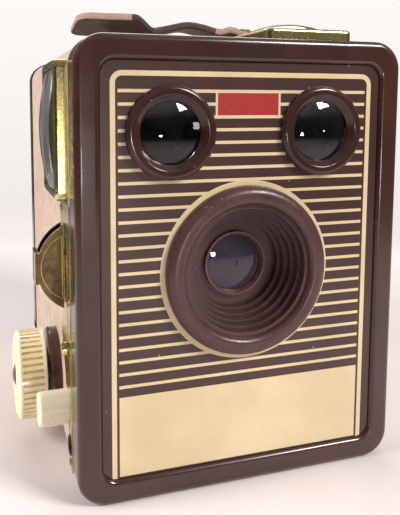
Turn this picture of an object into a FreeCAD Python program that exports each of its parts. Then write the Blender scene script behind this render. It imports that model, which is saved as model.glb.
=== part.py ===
"""Box camera for roll film, as separate pieces at real size.

The frame: X runs to the right as seen from in front of the lens, Y runs from the front to
the back door, Z runs up. The origin is the mouth of the tripod bush, in the middle of the base.
"""
import FreeCAD, Part

import math
import os
import re

import Sketcher

Vector = FreeCAD.Vector

os.makedirs("parts", exist_ok=True)
doc = FreeCAD.newDocument("BoxCamera")

# ---------------------------------------------------------------- driving sizes, in millimetres
SIZES = {
    # whole body
    "body_width": 84.0,
    "body_height": 110.0,
    "body_depth": 110.0,
    "fit_gap": 0.3,
    "glue_gap": 0.03,
    "running_gap": 0.05,
    # front panel, a pressed pan with a rolled rim
    "panel_wall": 1.0,
    "panel_corner": 7.0,
    "panel_flange": 8.6,
    "rim_width": 5.8,
    "rim_rise": 1.4,
    "rim_round": 1.6,
    "recess_corner": 3.6,
    "plate_thick": 0.4,
    # sheet metal case and its covering
    "case_gap": 0.1,
    "case_wall": 0.8,
    "case_corner": 6.0,
    "cover_thick": 0.7,
    # lens bezel
    "lens_height": 54.0,
    "bezel_radius": 20.85,
    "bezel_rise": 3.0,
    "bezel_lip": 4.5,
    "bezel_barrel": 18.0,
    "bezel_depth": 10.5,
    "bezel_floor": 11.4,
    "bezel_steps": 5,
    "lens_radius": 7.5,
    "lens_edge": 1.4,
    "lens_bulge": 1.0,
    "retainer_wall": 0.75,
    "retainer_rise": 1.1,
    # reflecting finders
    "finder_height": 87.7,
    "finder_offset": 19.5,
    "finder_bezel": 11.0,
    "finder_rise": 1.8,
    "finder_barrel": 9.2,
    "finder_glass": 7.75,
    "finder_bulge": 1.5,
    "finder_half": 11.0,
    "finder_wall": 0.5,
    "finder_back": -17.0,
    "finder_throat": 6.0,
    "mirror_thick": 1.2,
    "window_front": -40.0,
    "top_frame_left": -10.5,
    "top_frame_right": 14.5,
    "top_frame_front": -45.5,
    "top_frame_back": -17.5,
    "top_frame_rise": 4.2,
    "top_dome_rise": 2.6,
    "side_frame_low": -16.7,
    "side_frame_high": 17.3,
    "side_frame_front": -43.0,
    "side_frame_back": -18.0,
    "side_frame_rise": 3.2,
    "side_dome_rise": 2.0,
    "frame_wall": 0.6,
    "frame_border": 2.2,
    "frame_corner": 2.0,
    # controls on the side wall
    "side_row": -39.8,
    "button_height": 18.5,
    "button_radius": 4.25,
    "button_travel": 4.0,
    "button_cap": 4.0,
    "stem_radius": 2.0,
    "stem_end": -28.5,
    "spring_wire": 0.5,
    "spring_turns": 5,
    "socket_row": -43.0,
    "socket_height": 9.8,
    "socket_radius": 2.4,
    "socket_bore": 1.5,
    "selector_height": 34.0,
    "selector_radius": 1.7,
    "selector_travel": 4.5,
    "selector_slot": 1.4,
    "trim_thick": 0.5,
    "trim_low": 4.2,
    "trim_high": 70.4,
    "trim_wide": -31.6,
    "trim_narrow": -41.2,
    "trim_bend": 12.0,
    "trim_shoulder_row": -36.8,
    "trim_shoulder": 26.0,
    # slides for the close-up lens and the filter
    "closeup_row": -38.4,
    "filter_row": -34.4,
    "slide_thick": 0.8,
    "slide_half": 9.0,
    "slide_neck": 2.9,
    "slide_travel": 17.0,
    "slide_window": 7.4,
    "grip_chord": 21.0,
    "grip_reach": 6.7,
    "grip_thick": 1.1,
    # shutter
    "shutter_row": -30.0,
    "shutter_wall": 0.8,
    "stop_radius": 4.5,
    "blade_radius": 8.0,
    "blade_pivot_side": 14.0,
    "blade_pivot_drop": 12.0,
    "lever_pivot_side": -27.0,
    "lever_pivot_height": 32.0,
    "post_radius": 1.5,
    # film transport
    "winding_row": -16.0,
    "winding_height": 17.7,
    "collar_radius": 12.3,
    "collar_thick": 3.0,
    "shaft_radius": 3.0,
    "knob_radius": 12.2,
    "knob_thick": 7.5,
    "knob_ribs": 44,
    "knob_pull": 7.0,
    "washer_thick": 0.5,
    "cap_radius": 3.6,
    "cap_rise": 1.1,
    "spool_flange": 11.5,
    "spool_core": 5.2,
    "spool_half": 32.6,
    "key_thick": 1.2,
    "key_width": 5.4,
    "supply_row": 2.0,
    "supply_height": 94.0,
    "holder_half": 33.5,
    "holder_wall": 0.8,
    "gate_row": 50.2,
    "gate_width": 57.0,
    "gate_height": 83.0,
    "cone_front": -22.0,
    "cone_mouth": 11.0,
    "roller_radius": 3.2,
    "roller_row": 48.7,
    "roller_inset": 6.2,
    # back door
    "door_depth": 7.2,
    "door_wall": 0.8,
    "door_corner": 6.0,
    "hinge_radius": 1.2,
    "hinge_pin": 0.6,
    "hinge_width": 60.0,
    "window_radius": 6.0,
    "window_height": 40.0,
    "window_travel": 14.0,
    # catch
    "catch_width": 14.5,
    "catch_row": 43.5,
    "catch_thick": 0.8,
    "catch_length": 13.0,
    # carrying strap
    "strap_row": -8.0,
    "strap_length": 69.0,
    "strap_width": 16.5,
    "strap_neck": 11.0,
    "strap_thick": 2.2,
    "strap_rest": 6.0,
    "strap_hump": 9.5,
    "strap_end_rise": 3.8,
    "stud_spacing": 38.0,
    "stud_slot": 7.5,
    "stud_radius": 1.3,
    "stud_foot": 3.4,
    "stud_shoulder": 4.6,
    "stud_head": 3.0,
    # tripod bush
    "bush_radius": 4.6,
    "bush_flange": 7.5,
    "bush_height": 7.0,
    "bush_bore": 2.6,
    "bush_depth": 5.5,
}

# Places that follow from the driving sizes. Each is worked into the expressions that use it.
DERIVED = {
    "case_half": "body_width / 2 - panel_wall - case_gap",
    "case_low": "panel_wall + case_gap",
    "case_high": "body_height - panel_wall - case_gap",
    "cover_half": "case_half + glue_gap + cover_thick",
    "cover_high": "case_high + glue_gap + cover_thick",
    "cover_low": "case_low - glue_gap - cover_thick",
    "inner_half": "case_half - case_wall",
    "inner_high": "case_high - case_wall",
    "inner_low": "case_low + case_wall",
    "rim_front": "-body_depth / 2",
    "field": "rim_front + rim_rise",
    "plate_face": "field - plate_thick",
    "panel_back": "rim_front + panel_flange",
    "case_front": "field + panel_wall + case_gap",
    "door_back": "body_depth / 2",
    "door_inside": "door_back - door_wall",
    "door_front": "door_back - door_depth",
    "case_end": "door_inside - 2 * fit_gap",
    "hinge_row": "door_inside - fit_gap",
    "bezel_front": "plate_face - bezel_rise",
    "bezel_bottom": "bezel_front + bezel_depth",
    "finder_front": "case_front + case_gap",
    "finder_bend": "finder_back - 2 * finder_half - finder_throat",
    "trim_face": "cover_half + trim_thick",
    "button_hole": "button_radius + 0.65",
    "collar_face": "cover_half + collar_thick",
    "washer_face": "collar_face + fit_gap + washer_thick",
    "knob_back": "washer_face + fit_gap",
    "knob_face": "knob_back + knob_thick",
    "roller_high": "body_height - roller_inset",
    "roller_low": "roller_inset - 0.4",
    "spool_tip": "-spool_half + knob_pull - 1.4",
    "door_half": "body_width / 2",
    "door_low": "2 * hinge_radius + fit_gap",
    "knuckle_far": "hinge_width / 3",
    "knuckle_near": "hinge_width / 3 - 12",
    "catch_low": "body_height + 0.35",
    "catch_pin_height": "catch_low + 1.25",
    "grip_face": "trim_face + fit_gap",
    "gate_back": "gate_row + holder_wall",
    "blade_row": "shutter_row + shutter_wall + 0.8",
    "lever_row": "side_row - 1.4",
    "blade_pivot_height": "lens_height - blade_pivot_drop",
}

sheet = doc.addObject("Spreadsheet::Sheet", "Sizes")
for row, (alias, number) in enumerate(SIZES.items(), start=1):
    sheet.set("A%d" % row, alias)
    sheet.set("B%d" % row, str(number))
    sheet.setAlias("B%d" % row, alias)
doc.recompute()


# ---------------------------------------------------------------- expressions
def ex(text):
    """The text with derived places worked in and every size pointed at the sheet."""

    def swap(match):
        word = match.group(0)
        if word in DERIVED:
            return "(" + ex(DERIVED[word]) + ")"
        if word in SIZES:
            return "Sizes." + word
        return word

    return re.sub(r"[a-z][a-z_0-9]*", swap, str(text))


def value(text):
    """The number that an expression stands for."""
    return float(sheet.evalExpression(ex(text)))


# ---------------------------------------------------------------- sketches
def bind(sketch, row, text):
    sketch.setExpression("Constraints[%d]" % row, ex(text))


def place(sketch, geo, end, across, up):
    """Fix one point of a sketch by its two distances from the sketch's origin."""
    for kind, text in (("DistanceX", across), ("DistanceY", up)):
        if text is not None:
            row = sketch.addConstraint(Sketcher.Constraint(kind, -1, 1, geo, end, value(text)))
            bind(sketch, row, text)


def circle(sketch, across, up, radius):
    shape = Part.Circle(Vector(value(across), value(up), 0), Vector(0, 0, 1), value(radius))
    geo = sketch.addGeometry(shape)
    place(sketch, geo, 3, across, up)
    bind(sketch, sketch.addConstraint(Sketcher.Constraint("Radius", geo, value(radius))), radius)


def outline(sketch, points, arcs=None):
    """A closed outline. arcs gives an edge's number its radius and side, +1 for the left."""
    arcs = arcs or {}
    spots = [Vector(value(across), value(up), 0) for across, up in points]
    edges = []
    for number, start in enumerate(spots):
        end = spots[(number + 1) % len(spots)]
        if number in arcs:
            radius, side = arcs[number]
            chord = end - start
            left = Vector(-chord.y, chord.x, 0).normalize() * side
            half = chord.Length / 2
            sagitta = value(radius) - math.sqrt(value(radius) ** 2 - half ** 2)
            middle = (start + end) * 0.5 + left * sagitta
            geo = sketch.addGeometry(Part.ArcOfCircle(start, middle, end))
            forward = sketch.getPoint(geo, 1).distanceToPoint(start) < 1e-6
            edges.append((geo, 1, 2) if forward else (geo, 2, 1))
            row = sketch.addConstraint(Sketcher.Constraint("Radius", geo, value(radius)))
            bind(sketch, row, radius)
        else:
            edges.append((sketch.addGeometry(Part.LineSegment(start, end)), 1, 2))
    for number, (across, up) in enumerate(points):
        geo, first, _ = edges[number]
        before, _, last = edges[number - 1]
        sketch.addConstraint(Sketcher.Constraint("Coincident", before, last, geo, first))
        place(sketch, geo, first, across, up)


def box(sketch, left, low, right, high):
    outline(sketch, [(left, low), (right, low), (right, high), (left, high)])


def rounded(sketch, left, low, right, high, radius):
    """A rectangle with four equal corner arcs, tangent to its sides."""
    x0, z0, x1, z1, r = [value(text) for text in (left, low, right, high, radius)]
    corners = ((x1 - r, z1 - r), (x0 + r, z1 - r), (x0 + r, z0 + r), (x1 - r, z0 + r))
    arcs, lines = [], []
    for number, (cx, cz) in enumerate(corners):
        start = math.radians(90 * number)
        ring = Part.Circle(Vector(cx, cz, 0), Vector(0, 0, 1), r)
        arcs.append(sketch.addGeometry(Part.ArcOfCircle(ring, start, start + math.pi / 2)))
    for number in range(4):
        start = sketch.getPoint(arcs[number], 2)
        end = sketch.getPoint(arcs[(number + 1) % 4], 1)
        lines.append(sketch.addGeometry(Part.LineSegment(start, end)))
    for number in range(4):
        follower = arcs[(number + 1) % 4]
        sketch.addConstraint(Sketcher.Constraint("Tangent", arcs[number], 2, lines[number], 1))
        sketch.addConstraint(Sketcher.Constraint("Tangent", lines[number], 2, follower, 1))
        level = "Horizontal" if number % 2 == 0 else "Vertical"
        sketch.addConstraint(Sketcher.Constraint(level, lines[number]))
    for other in arcs[1:]:
        sketch.addConstraint(Sketcher.Constraint("Equal", arcs[0], other))
    bind(sketch, sketch.addConstraint(Sketcher.Constraint("Radius", arcs[0], r)), radius)
    place(sketch, lines[0], 1, None, high)
    place(sketch, lines[1], 1, left, None)
    place(sketch, lines[2], 1, None, low)
    place(sketch, lines[3], 1, right, None)


# ---------------------------------------------------------------- features
parts = []


def body(label, x="0", y="0", z="0", turned=None):
    """A new sub-part. Its own frame sits at x, y, z and may be turned."""
    item = doc.addObject("PartDesign::Body", label)
    item.Label = label
    if turned:
        item.Placement = FreeCAD.Placement(Vector(0, 0, 0), turned)
    for axis, text in zip("xyz", (x, y, z)):
        item.setExpression(".Placement.Base." + axis, ex(text))
    parts.append(item)
    return item


def origin_part(item, role):
    return next(part for part in item.Origin.OriginFeatures if part.Role == role)


def sketch_on(item, plane, at, draw):
    """A sketch on one of the body's own origin planes, moved along the plane's axis."""
    sketch = item.newObject("Sketcher::SketchObject", item.Name + "_Sketch")
    sketch.AttachmentSupport = [(origin_part(item, plane + "_Plane"), "")]
    sketch.MapMode = "FlatFace"
    sign = "-" if plane == "XZ" else ""
    sketch.setExpression(".AttachmentOffset.Base.z", ex("%s(%s)" % (sign, at)))
    draw(sketch)
    return sketch


def extrude(item, kind, plane, start, end, draw):
    """A Pad or Pocket from start to end along the plane's axis, in its positive sense."""
    sketch = sketch_on(item, plane, start, draw)
    feature = item.newObject("PartDesign::" + kind, item.Name + "_" + kind)
    feature.Profile = sketch
    feature.setExpression("Length", ex("(%s) - (%s)" % (end, start)))
    feature.Reversed = (kind == "Pad") == (plane == "XZ")
    return feature


def pad(item, plane, start, end, draw):
    return extrude(item, "Pad", plane, start, end, draw)


def cut(item, plane, start, end, draw):
    return extrude(item, "Pocket", plane, start, end, draw)


def turn(item, points, arcs=None, plane="YZ", axis="H_Axis", kind="Revolution"):
    """A Revolution or Groove of an outline round one of its sketch's axes."""
    sketch = sketch_on(item, plane, "0", lambda s: outline(s, points, arcs))
    feature = item.newObject("PartDesign::" + kind, item.Name + "_" + kind)
    feature.Profile = sketch
    feature.ReferenceAxis = (sketch, [axis])
    feature.Angle = 360
    return feature


def loft(item, kind, plane, stations):
    """An AdditiveLoft or SubtractiveLoft through sketches at several stations."""
    sketches = [sketch_on(item, plane, at, draw) for at, draw in stations]
    feature = item.newObject("PartDesign::" + kind, item.Name + "_" + kind)
    feature.Profile = sketches[0]
    feature.Sections = sketches[1:]
    feature.Ruled = True
    return feature


def soften(item, radius, wanted):
    """A Fillet of the given radius on the edges that wanted picks out."""
    doc.recompute()
    base = item.Tip
    names = ["Edge%d" % n for n, edge in enumerate(base.Shape.Edges, start=1) if wanted(edge)]
    if not names:
        raise RuntimeError("no edge to soften on " + item.Label)
    feature = item.newObject("PartDesign::Fillet", item.Name + "_Fillet")
    feature.Base = (base, names)
    feature.setExpression("Radius", ex(radius))
    return feature


def ring_of(item, feature, axis, count):
    """A PolarPattern of one feature round an axis of the body."""
    pattern = item.newObject("PartDesign::PolarPattern", item.Name + "_Ring")
    pattern.Originals = [feature]
    pattern.Axis = (origin_part(item, axis + "_Axis"), [""])
    pattern.Angle = 360
    pattern.setExpression("Occurrences", ex(count))
    item.Tip = pattern
    return pattern


def row_of(item, features, axis, length, count="2"):
    """A LinearPattern of features along an axis of the body."""
    pattern = item.newObject("PartDesign::LinearPattern", item.Name + "_Row")
    pattern.Originals = features
    pattern.Direction = (origin_part(item, axis + "_Axis"), [""])
    pattern.setExpression("Length", ex(length))
    pattern.setExpression("Occurrences", ex(count))
    item.Tip = pattern
    return pattern


def flat_at(edge, axis, level):
    """Whether an edge lies in the plane where the axis has this value."""
    low = getattr(edge.BoundBox, axis + "Min")
    high = getattr(edge.BoundBox, axis + "Max")
    return abs(low - level) < 1e-4 and abs(high - level) < 1e-4


def round_at(edge, axis, level, radius):
    """Whether an edge is a circle of this radius in the plane where axis has this value."""
    is_circle = hasattr(edge.Curve, "Radius")
    return is_circle and flat_at(edge, axis, level) and abs(edge.Curve.Radius - radius) < 1e-3


# ---------------------------------------------------------------- openings shared by the walls
def side_holes(sketch, spare):
    """Holes in the wall on the control side, each with some spare room round its piece."""
    circle(sketch, "winding_row", "winding_height", "shaft_radius + 0.3 + " + spare)
    circle(sketch, "side_row", "button_height", "button_hole + " + spare)
    half = "(selector_slot / 2 + %s)" % spare
    box(
        sketch,
        "side_row - 1.4 - " + half,
        "selector_height - selector_travel - 1.6 - " + spare,
        "side_row - 1.4 + " + half,
        "selector_height + 1.6 + " + spare,
    )
    for row in ("closeup_row", "filter_row"):
        half = "(slide_thick / 2 + fit_gap + %s)" % spare
        tall = "(slide_neck + fit_gap + %s)" % spare
        box(
            sketch, "%s - %s" % (row, half), "lens_height - " + tall,
            "%s + %s" % (row, half), "lens_height + " + tall,
        )


def square(sketch, across, up, half):
    """A square hole or shank that keeps a bush from turning."""
    box(
        sketch, "%s - (%s)" % (across, half), "%s - (%s)" % (up, half),
        "%s + %s" % (across, half), "%s + %s" % (up, half),
    )


def side_window(sketch, spare):
    """The viewing window of the side finder, in the control side's wall."""
    box(
        sketch,
        "window_front - " + spare,
        "finder_height - finder_half + 1 - " + spare,
        "finder_back - 2 + " + spare,
        "finder_height + finder_half - 1 + " + spare,
    )


def top_window(sketch, spare):
    """The viewing window of the top finder, in the roof."""
    box(
        sketch,
        "finder_offset - finder_half + 1 - " + spare,
        "window_front - " + spare,
        "finder_offset + finder_half - 1 + " + spare,
        "finder_back - 2 + " + spare,
    )


def strap_holes(sketch, radius):
    for side in ("-", ""):
        circle(sketch, side + "stud_spacing / 2", "strap_row", radius)


# ---------------------------------------------------------------- case
def case_shell():
    item = body("case_shell")
    pad(
        item, "XZ", "case_front", "case_end",
        lambda s: rounded(s, "-case_half", "case_low", "case_half", "case_high", "case_corner"),
    )
    cut(
        item, "XZ", "case_front", "case_end",
        lambda s: rounded(
            s, "-inner_half", "inner_low", "inner_half", "inner_high", "case_corner - case_wall"
        ),
    )
    cut(item, "YZ", "-case_half - 1", "-inner_half + 1", lambda s: side_holes(s, "0"))
    cut(
        item, "YZ", "-case_half - 1", "-inner_half + 1",
        lambda s: square(s, "socket_row", "socket_height", "socket_radius + running_gap"),
    )
    cut(item, "YZ", "-case_half - 1", "-inner_half + 1", lambda s: side_window(s, "0"))
    cut(item, "XY", "inner_high - 1", "case_high + 1", lambda s: top_window(s, "0"))
    cut(
        item, "XY", "inner_high - 1", "case_high + 1",
        lambda s: strap_holes(s, "stud_radius + running_gap"),
    )
    cut(
        item, "XY", "case_low - 1", "inner_low + 1",
        lambda s: square(s, "0", "0", "bush_radius + running_gap"),
    )
    # The floor stops short of the door so that the door's knuckles can turn.
    cut(
        item, "XY", "case_low - 1", "inner_low + 1",
        lambda s: box(
            s, "-hinge_width / 2 - 1", "hinge_row - hinge_radius - fit_gap",
            "hinge_width / 2 + 1", "case_end + 1",
        ),
    )


def case_covering():
    item = body("case_covering")
    start, end = "panel_back + case_gap", "door_front - fit_gap"
    inner = "case_half + glue_gap"
    pad(
        item, "XZ", start, end,
        lambda s: rounded(
            s, "-cover_half", "cover_low", "cover_half", "cover_high",
            "case_corner + glue_gap + cover_thick",
        ),
    )
    cut(
        item, "XZ", start, end,
        lambda s: rounded(
            s, "-(%s)" % inner, "case_low - glue_gap", inner, "case_high + glue_gap",
            "case_corner + glue_gap",
        ),
    )
    cut(item, "YZ", "-cover_half - 1", "-inner_half", lambda s: side_holes(s, "0.2"))
    cut(
        item, "YZ", "-cover_half - 1", "-inner_half",
        lambda s: circle(s, "socket_row", "socket_height", "socket_radius + 0.2"),
    )
    cut(item, "YZ", "-cover_half - 1", "-inner_half", lambda s: side_window(s, "0.4"))
    cut(item, "XY", "inner_high", "cover_high + 1", lambda s: top_window(s, "0.4"))
    cut(
        item, "XY", "inner_high", "cover_high + 1",
        lambda s: strap_holes(s, "stud_radius + 0.3"),
    )
    cut(
        item, "XY", "cover_low - 1", "inner_low",
        lambda s: circle(s, "0", "0", "bush_radius * sqrt(2) + 0.3"),
    )


# ---------------------------------------------------------------- front
def front_panel():
    item = body("front_panel")
    half = "body_width / 2"
    pad(
        item, "XZ", "rim_front", "panel_back",
        lambda s: rounded(s, "-" + half, "0", half, "body_height", "panel_corner"),
    )
    cut(
        item, "XZ", "field + panel_wall", "panel_back",
        lambda s: rounded(
            s, "-%s + panel_wall" % half, "panel_wall", half + " - panel_wall",
            "body_height - panel_wall", "panel_corner - panel_wall",
        ),
    )
    cut(
        item, "XZ", "rim_front", "field",
        lambda s: rounded(
            s, "-%s + rim_width" % half, "rim_width", half + " - rim_width",
            "body_height - rim_width", "recess_corner",
        ),
    )

    def holes(sketch):
        circle(sketch, "0", "lens_height", "bezel_barrel + 0.2")
        for side in ("-", ""):
            circle(sketch, side + "finder_offset", "finder_height", "finder_barrel + 0.2")

    cut(item, "XZ", "field", "field + panel_wall", holes)
    front = value("rim_front")
    middle = value("body_height / 2")
    reach_x = value("(body_width - rim_width) / 2")
    reach_z = value("(body_height - rim_width) / 2")

    def is_outer(edge):
        spot = edge.CenterOfMass
        return abs(spot.x) > reach_x or abs(spot.z - middle) > reach_z

    soften(item, "rim_round", lambda e: flat_at(e, "Y", front) and is_outer(e))
    soften(item, "rim_rise - 0.2", lambda e: flat_at(e, "Y", front) and not is_outer(e))


def face_plate():
    item = body("face_plate")
    edge = "rim_width + 0.15"

    def draw(sketch):
        rounded(
            sketch, "-body_width / 2 + " + edge, edge, "body_width / 2 - (%s)" % edge,
            "body_height - (%s)" % edge, "recess_corner - 0.15",
        )
        circle(sketch, "0", "lens_height", "bezel_barrel + 0.2")
        for side in ("-", ""):
            circle(sketch, side + "finder_offset", "finder_height", "finder_barrel + 0.2")

    pad(item, "XZ", "plate_face", "field", draw)


def lens_bezel():
    """The moulded bezel: a rounded lip, concentric steps going in, and a seat for the lens."""
    item = body("lens_bezel", z="lens_height")
    lip_in = "(bezel_radius - bezel_lip)"
    step_in = "((%s - bezel_floor) / bezel_steps)" % lip_in
    step_down = "((bezel_depth - 1.6) / bezel_steps)"
    points = [
        ("plate_face", "bezel_radius"),
        ("bezel_front", "bezel_radius"),
        ("bezel_front", lip_in),
        ("bezel_front + 1.6", lip_in),
    ]
    for step in range(1, int(SIZES["bezel_steps"]) + 1):
        radius = "%s - %d * %s" % (lip_in, step, step_in)
        points.append(("bezel_front + 1.6 + %d * %s" % (step - 1, step_down), radius))
        points.append(("bezel_front + 1.6 + %d * %s" % (step, step_down), radius))
    points += [
        ("bezel_bottom", "lens_radius + running_gap"),
        ("bezel_bottom + lens_edge + 0.35", "lens_radius + running_gap"),
        ("bezel_bottom + lens_edge + 0.35", "lens_radius - 0.8"),
        ("bezel_bottom + lens_edge + 1.35", "lens_radius - 0.8"),
        ("bezel_bottom + lens_edge + 1.35", "bezel_barrel"),
        ("plate_face", "bezel_barrel"),
    ]
    turn(item, points)
    front = value("bezel_front")
    outer, inner = value("bezel_radius"), value("bezel_radius - bezel_lip")
    soften(item, "bezel_rise - 0.8", lambda e: round_at(e, "Y", front, outer))
    soften(item, "1.5", lambda e: round_at(e, "Y", front, inner))


def lens():
    """The front element, a disc with a ground edge and a bulging face."""
    item = body("lens", z="lens_height")
    face = "bezel_bottom + 0.3"
    points = [
        (face + " - lens_bulge", "0"),
        (face, "lens_radius"),
        (face + " + lens_edge", "lens_radius"),
        (face + " + lens_edge - 0.5", "0"),
    ]
    front_radius = "(lens_radius^2 + lens_bulge^2) / (2 * lens_bulge)"
    back_radius = "(lens_radius^2 + 0.5^2) / (2 * 0.5)"
    turn(item, points, {0: (front_radius, 1), 2: (back_radius, -1)})


def lens_retainer():
    item = body("lens_retainer", z="lens_height")
    low, outer = "bezel_bottom - retainer_rise", "lens_radius + retainer_wall"
    turn(item, [
        (low, outer), (low, outer + " - 0.5"), ("bezel_bottom - 0.15", "lens_radius - 0.35"),
        ("bezel_bottom", "lens_radius - 0.35"), ("bezel_bottom", outer),
    ])


# ---------------------------------------------------------------- finders
FINDERS = {
    # name: place across, and how the finder's own frame is turned
    "top": ("finder_offset", FreeCAD.Rotation()),
    "side": ("-finder_offset", FreeCAD.Rotation(Vector(0, 1, 0), -90)),
}
FINDER_REACH = {"top": "inner_high - finder_height", "side": "inner_half - finder_offset"}
FINDER_SKIN = {
    "top": "cover_high - finder_height",
    "side": "cover_half - finder_offset",
}
# The brass frame's edges: across from, across to, front and back.
FINDER_FRAME = {
    "top": ("top_frame_left", "top_frame_right", "top_frame_front", "top_frame_back"),
    "side": ("side_frame_low", "side_frame_high", "side_frame_front", "side_frame_back"),
}


def finder_bezel(name):
    across, _ = FINDERS[name]
    item = body(name + "_finder_bezel", x=across, z="finder_height")
    front = "plate_face - finder_rise"
    turn(item, [
        ("plate_face", "finder_bezel"),
        (front, "finder_bezel"),
        (front, "finder_glass + 1.1"),
        (front + " + 1.3", "finder_glass - 0.3"),
        ("plate_face", "finder_glass - 0.3"),
        ("plate_face", "finder_glass + running_gap"),
        ("field + panel_wall + 1.6", "finder_glass + running_gap"),
        ("field + panel_wall + 1.6", "finder_barrel"),
        ("plate_face", "finder_barrel"),
    ])
    level, radius = value(front), value("finder_bezel")
    soften(item, "1.2", lambda e: round_at(e, "Y", level, radius))
    inner = value("finder_glass + 1.1")
    soften(item, "0.5", lambda e: round_at(e, "Y", level, inner))


def finder_objective(name):
    across, _ = FINDERS[name]
    item = body(name + "_finder_objective", x=across, z="finder_height")
    face = "plate_face + 0.05"
    inner = "(finder_glass - 0.35)"
    points = [
        (face + " - finder_bulge", "0"),
        (face, inner),
        (face, "finder_glass"),
        (face + " + 1.4", "finder_glass"),
        (face + " + 1.4", "0"),
    ]
    turn(item, points, {0: ("(%s^2 + finder_bulge^2) / (2 * finder_bulge)" % inner, 1)})


def finder_profile(sketch, name, inset):
    """The side view of a finder box, whose floor turns up at 45 degrees behind the lens."""
    roof = "%s - case_gap" % FINDER_REACH[name]
    start = "finder_front + %s" % inset
    floor = "-finder_half + %s" % inset
    back = "finder_back - %s" % inset
    outline(sketch, [
        (start, floor),
        ("finder_bend + %s - %s * sqrt(2)" % (inset, inset), floor),
        (back, "finder_half + finder_throat + %s * (sqrt(2) - 1)" % inset),
        (back, roof),
        (start, roof),
    ])


def finder_box(name):
    across, turned = FINDERS[name]
    item = body(name + "_finder_box", x=across, z="finder_height", turned=turned)
    pad(item, "YZ", "-finder_half", "finder_half", lambda s: finder_profile(s, name, "0"))
    cut(
        item, "YZ", "-finder_half + finder_wall", "finder_half - finder_wall",
        lambda s: finder_profile(s, name, "finder_wall"),
    )
    cut(
        item, "XZ", "finder_front - 1", "finder_front + finder_wall + 0.2",
        lambda s: circle(s, "0", "0", "finder_barrel + 0.1"),
    )


def finder_mirror(name):
    """A glass plate that lies on the sloping floor of the finder box."""
    across, turned = FINDERS[name]
    item = body(name + "_finder_mirror", x=across, z="finder_height", turned=turned)
    lift = "(finder_wall + running_gap) * sqrt(2)"
    thick = "mirror_thick / sqrt(2)"

    def draw(sketch):
        low = ("finder_bend + 1", "-finder_half + 1 + " + lift)
        high = ("finder_back - 3", "finder_half + finder_throat - 3 + " + lift)
        outline(sketch, [
            low, high,
            ("%s - %s" % (high[0], thick), "%s + %s" % (high[1], thick)),
            ("%s - %s" % (low[0], thick), "%s + %s" % (low[1], thick)),
        ])

    half = "finder_half - finder_wall - fit_gap"
    pad(item, "YZ", "-(%s)" % half, half, draw)


def finder_place(name):
    """Where the middle of a finder's window frame lies: x, y and z."""
    left, right, front, back = FINDER_FRAME[name]
    across, middle = FINDERS[name][0], "(%s + %s) / 2" % (left, right)
    row = "(%s + %s) / 2" % (front, back)
    if name == "top":
        return "%s + %s" % (across, middle), row, "finder_height"
    return across, row, "finder_height + " + middle


def frame_rectangle(sketch, name, inset, corner):
    left, right, front, back = FINDER_FRAME[name]
    wide, deep = "(%s - %s) / 2" % (right, left), "(%s - %s) / 2" % (back, front)
    rounded(
        sketch, "-%s + %s" % (wide, inset), "-%s + %s" % (deep, inset),
        "%s - (%s)" % (wide, inset), "%s - (%s)" % (deep, inset), corner,
    )


def finder_frame(name):
    """The pressed brass hood round a viewing window."""
    x, y, z = finder_place(name)
    item = body(name + "_finder_frame", x, y, z, FINDERS[name][1])
    low = FINDER_SKIN[name]
    high = "%s + %s_frame_rise" % (low, name)
    pad(item, "XY", low, high, lambda s: frame_rectangle(s, name, "0", "frame_corner"))
    cut(
        item, "XY", low, high + " - frame_wall",
        lambda s: frame_rectangle(s, name, "frame_wall", "frame_corner - frame_wall"),
    )
    cut(
        item, "XY", high + " - frame_wall", high,
        lambda s: frame_rectangle(s, name, "frame_border", "0.8"),
    )
    doc.recompute()
    level = value(high)
    left, right, front, back = [value(text) for text in FINDER_FRAME[name]]
    wide, deep = (right - left) / 2, (back - front) / 2
    border = value("frame_border") / 2

    def is_outer(edge):
        spot = edge.CenterOfMass
        on_rim = abs(spot.x) > wide - border or abs(spot.y) > deep - border
        return on_rim and flat_at(edge, "Z", level)

    soften(item, "0.9", is_outer)


def finder_dome(name):
    """The field lens under the hood: a rectangular block with a bulging face."""
    x, y, z = finder_place(name)
    item = body(name + "_finder_dome", x, y, z, FINDERS[name][1])
    low = FINDER_SKIN[name]
    crown = "%s + %s_frame_rise + %s_dome_rise" % (low, name, name)
    pad(
        item, "XY", low + " + 0.1", crown + " + 0.5",
        lambda s: frame_rectangle(s, name, "frame_border + 0.15", "0.65"),
    )
    left, right, front, back = FINDER_FRAME[name]
    longest = max(value(right) - value(left), value(back) - value(front))
    half = "(%.4f / 2 - frame_border)" % longest
    sag = "(%s_dome_rise + 0.1)" % name
    radius = "((%s^2 + %s^2) / (2 * %s))" % (half, sag, sag)
    reach = half + " * 1.5"
    drop = "%s - sqrt(%s^2 - (%s)^2)" % (radius, radius, reach)
    turn(item, [
        ("0", crown),
        (reach, "%s - (%s)" % (crown, drop)),
        (reach, crown + " + 2"),
        ("0", crown + " + 2"),
    ], {0: (radius, 1)}, plane="XZ", axis="V_Axis", kind="Groove")


# ---------------------------------------------------------------- control side
def trim_plate():
    """The bright plate round the controls, narrowing where it passes the button."""
    item = body("trim_plate")
    front = "panel_back + 0.2"
    points = [
        (front, "trim_low"), ("trim_narrow", "trim_low"), ("trim_narrow", "trim_bend"),
        ("trim_shoulder_row", "trim_shoulder"), ("trim_wide", "selector_height"),
        ("trim_wide", "trim_high"), (front, "trim_high"),
    ]
    pad(item, "YZ", "-trim_face", "-cover_half", lambda s: outline(s, points))
    cut(item, "YZ", "-trim_face - 1", "-cover_half + 1", lambda s: side_holes(s, "0.1"))
    cut(
        item, "YZ", "-trim_face - 1", "-cover_half + 1",
        lambda s: circle(s, "socket_row", "socket_height", "socket_radius + 0.1"),
    )


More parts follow.
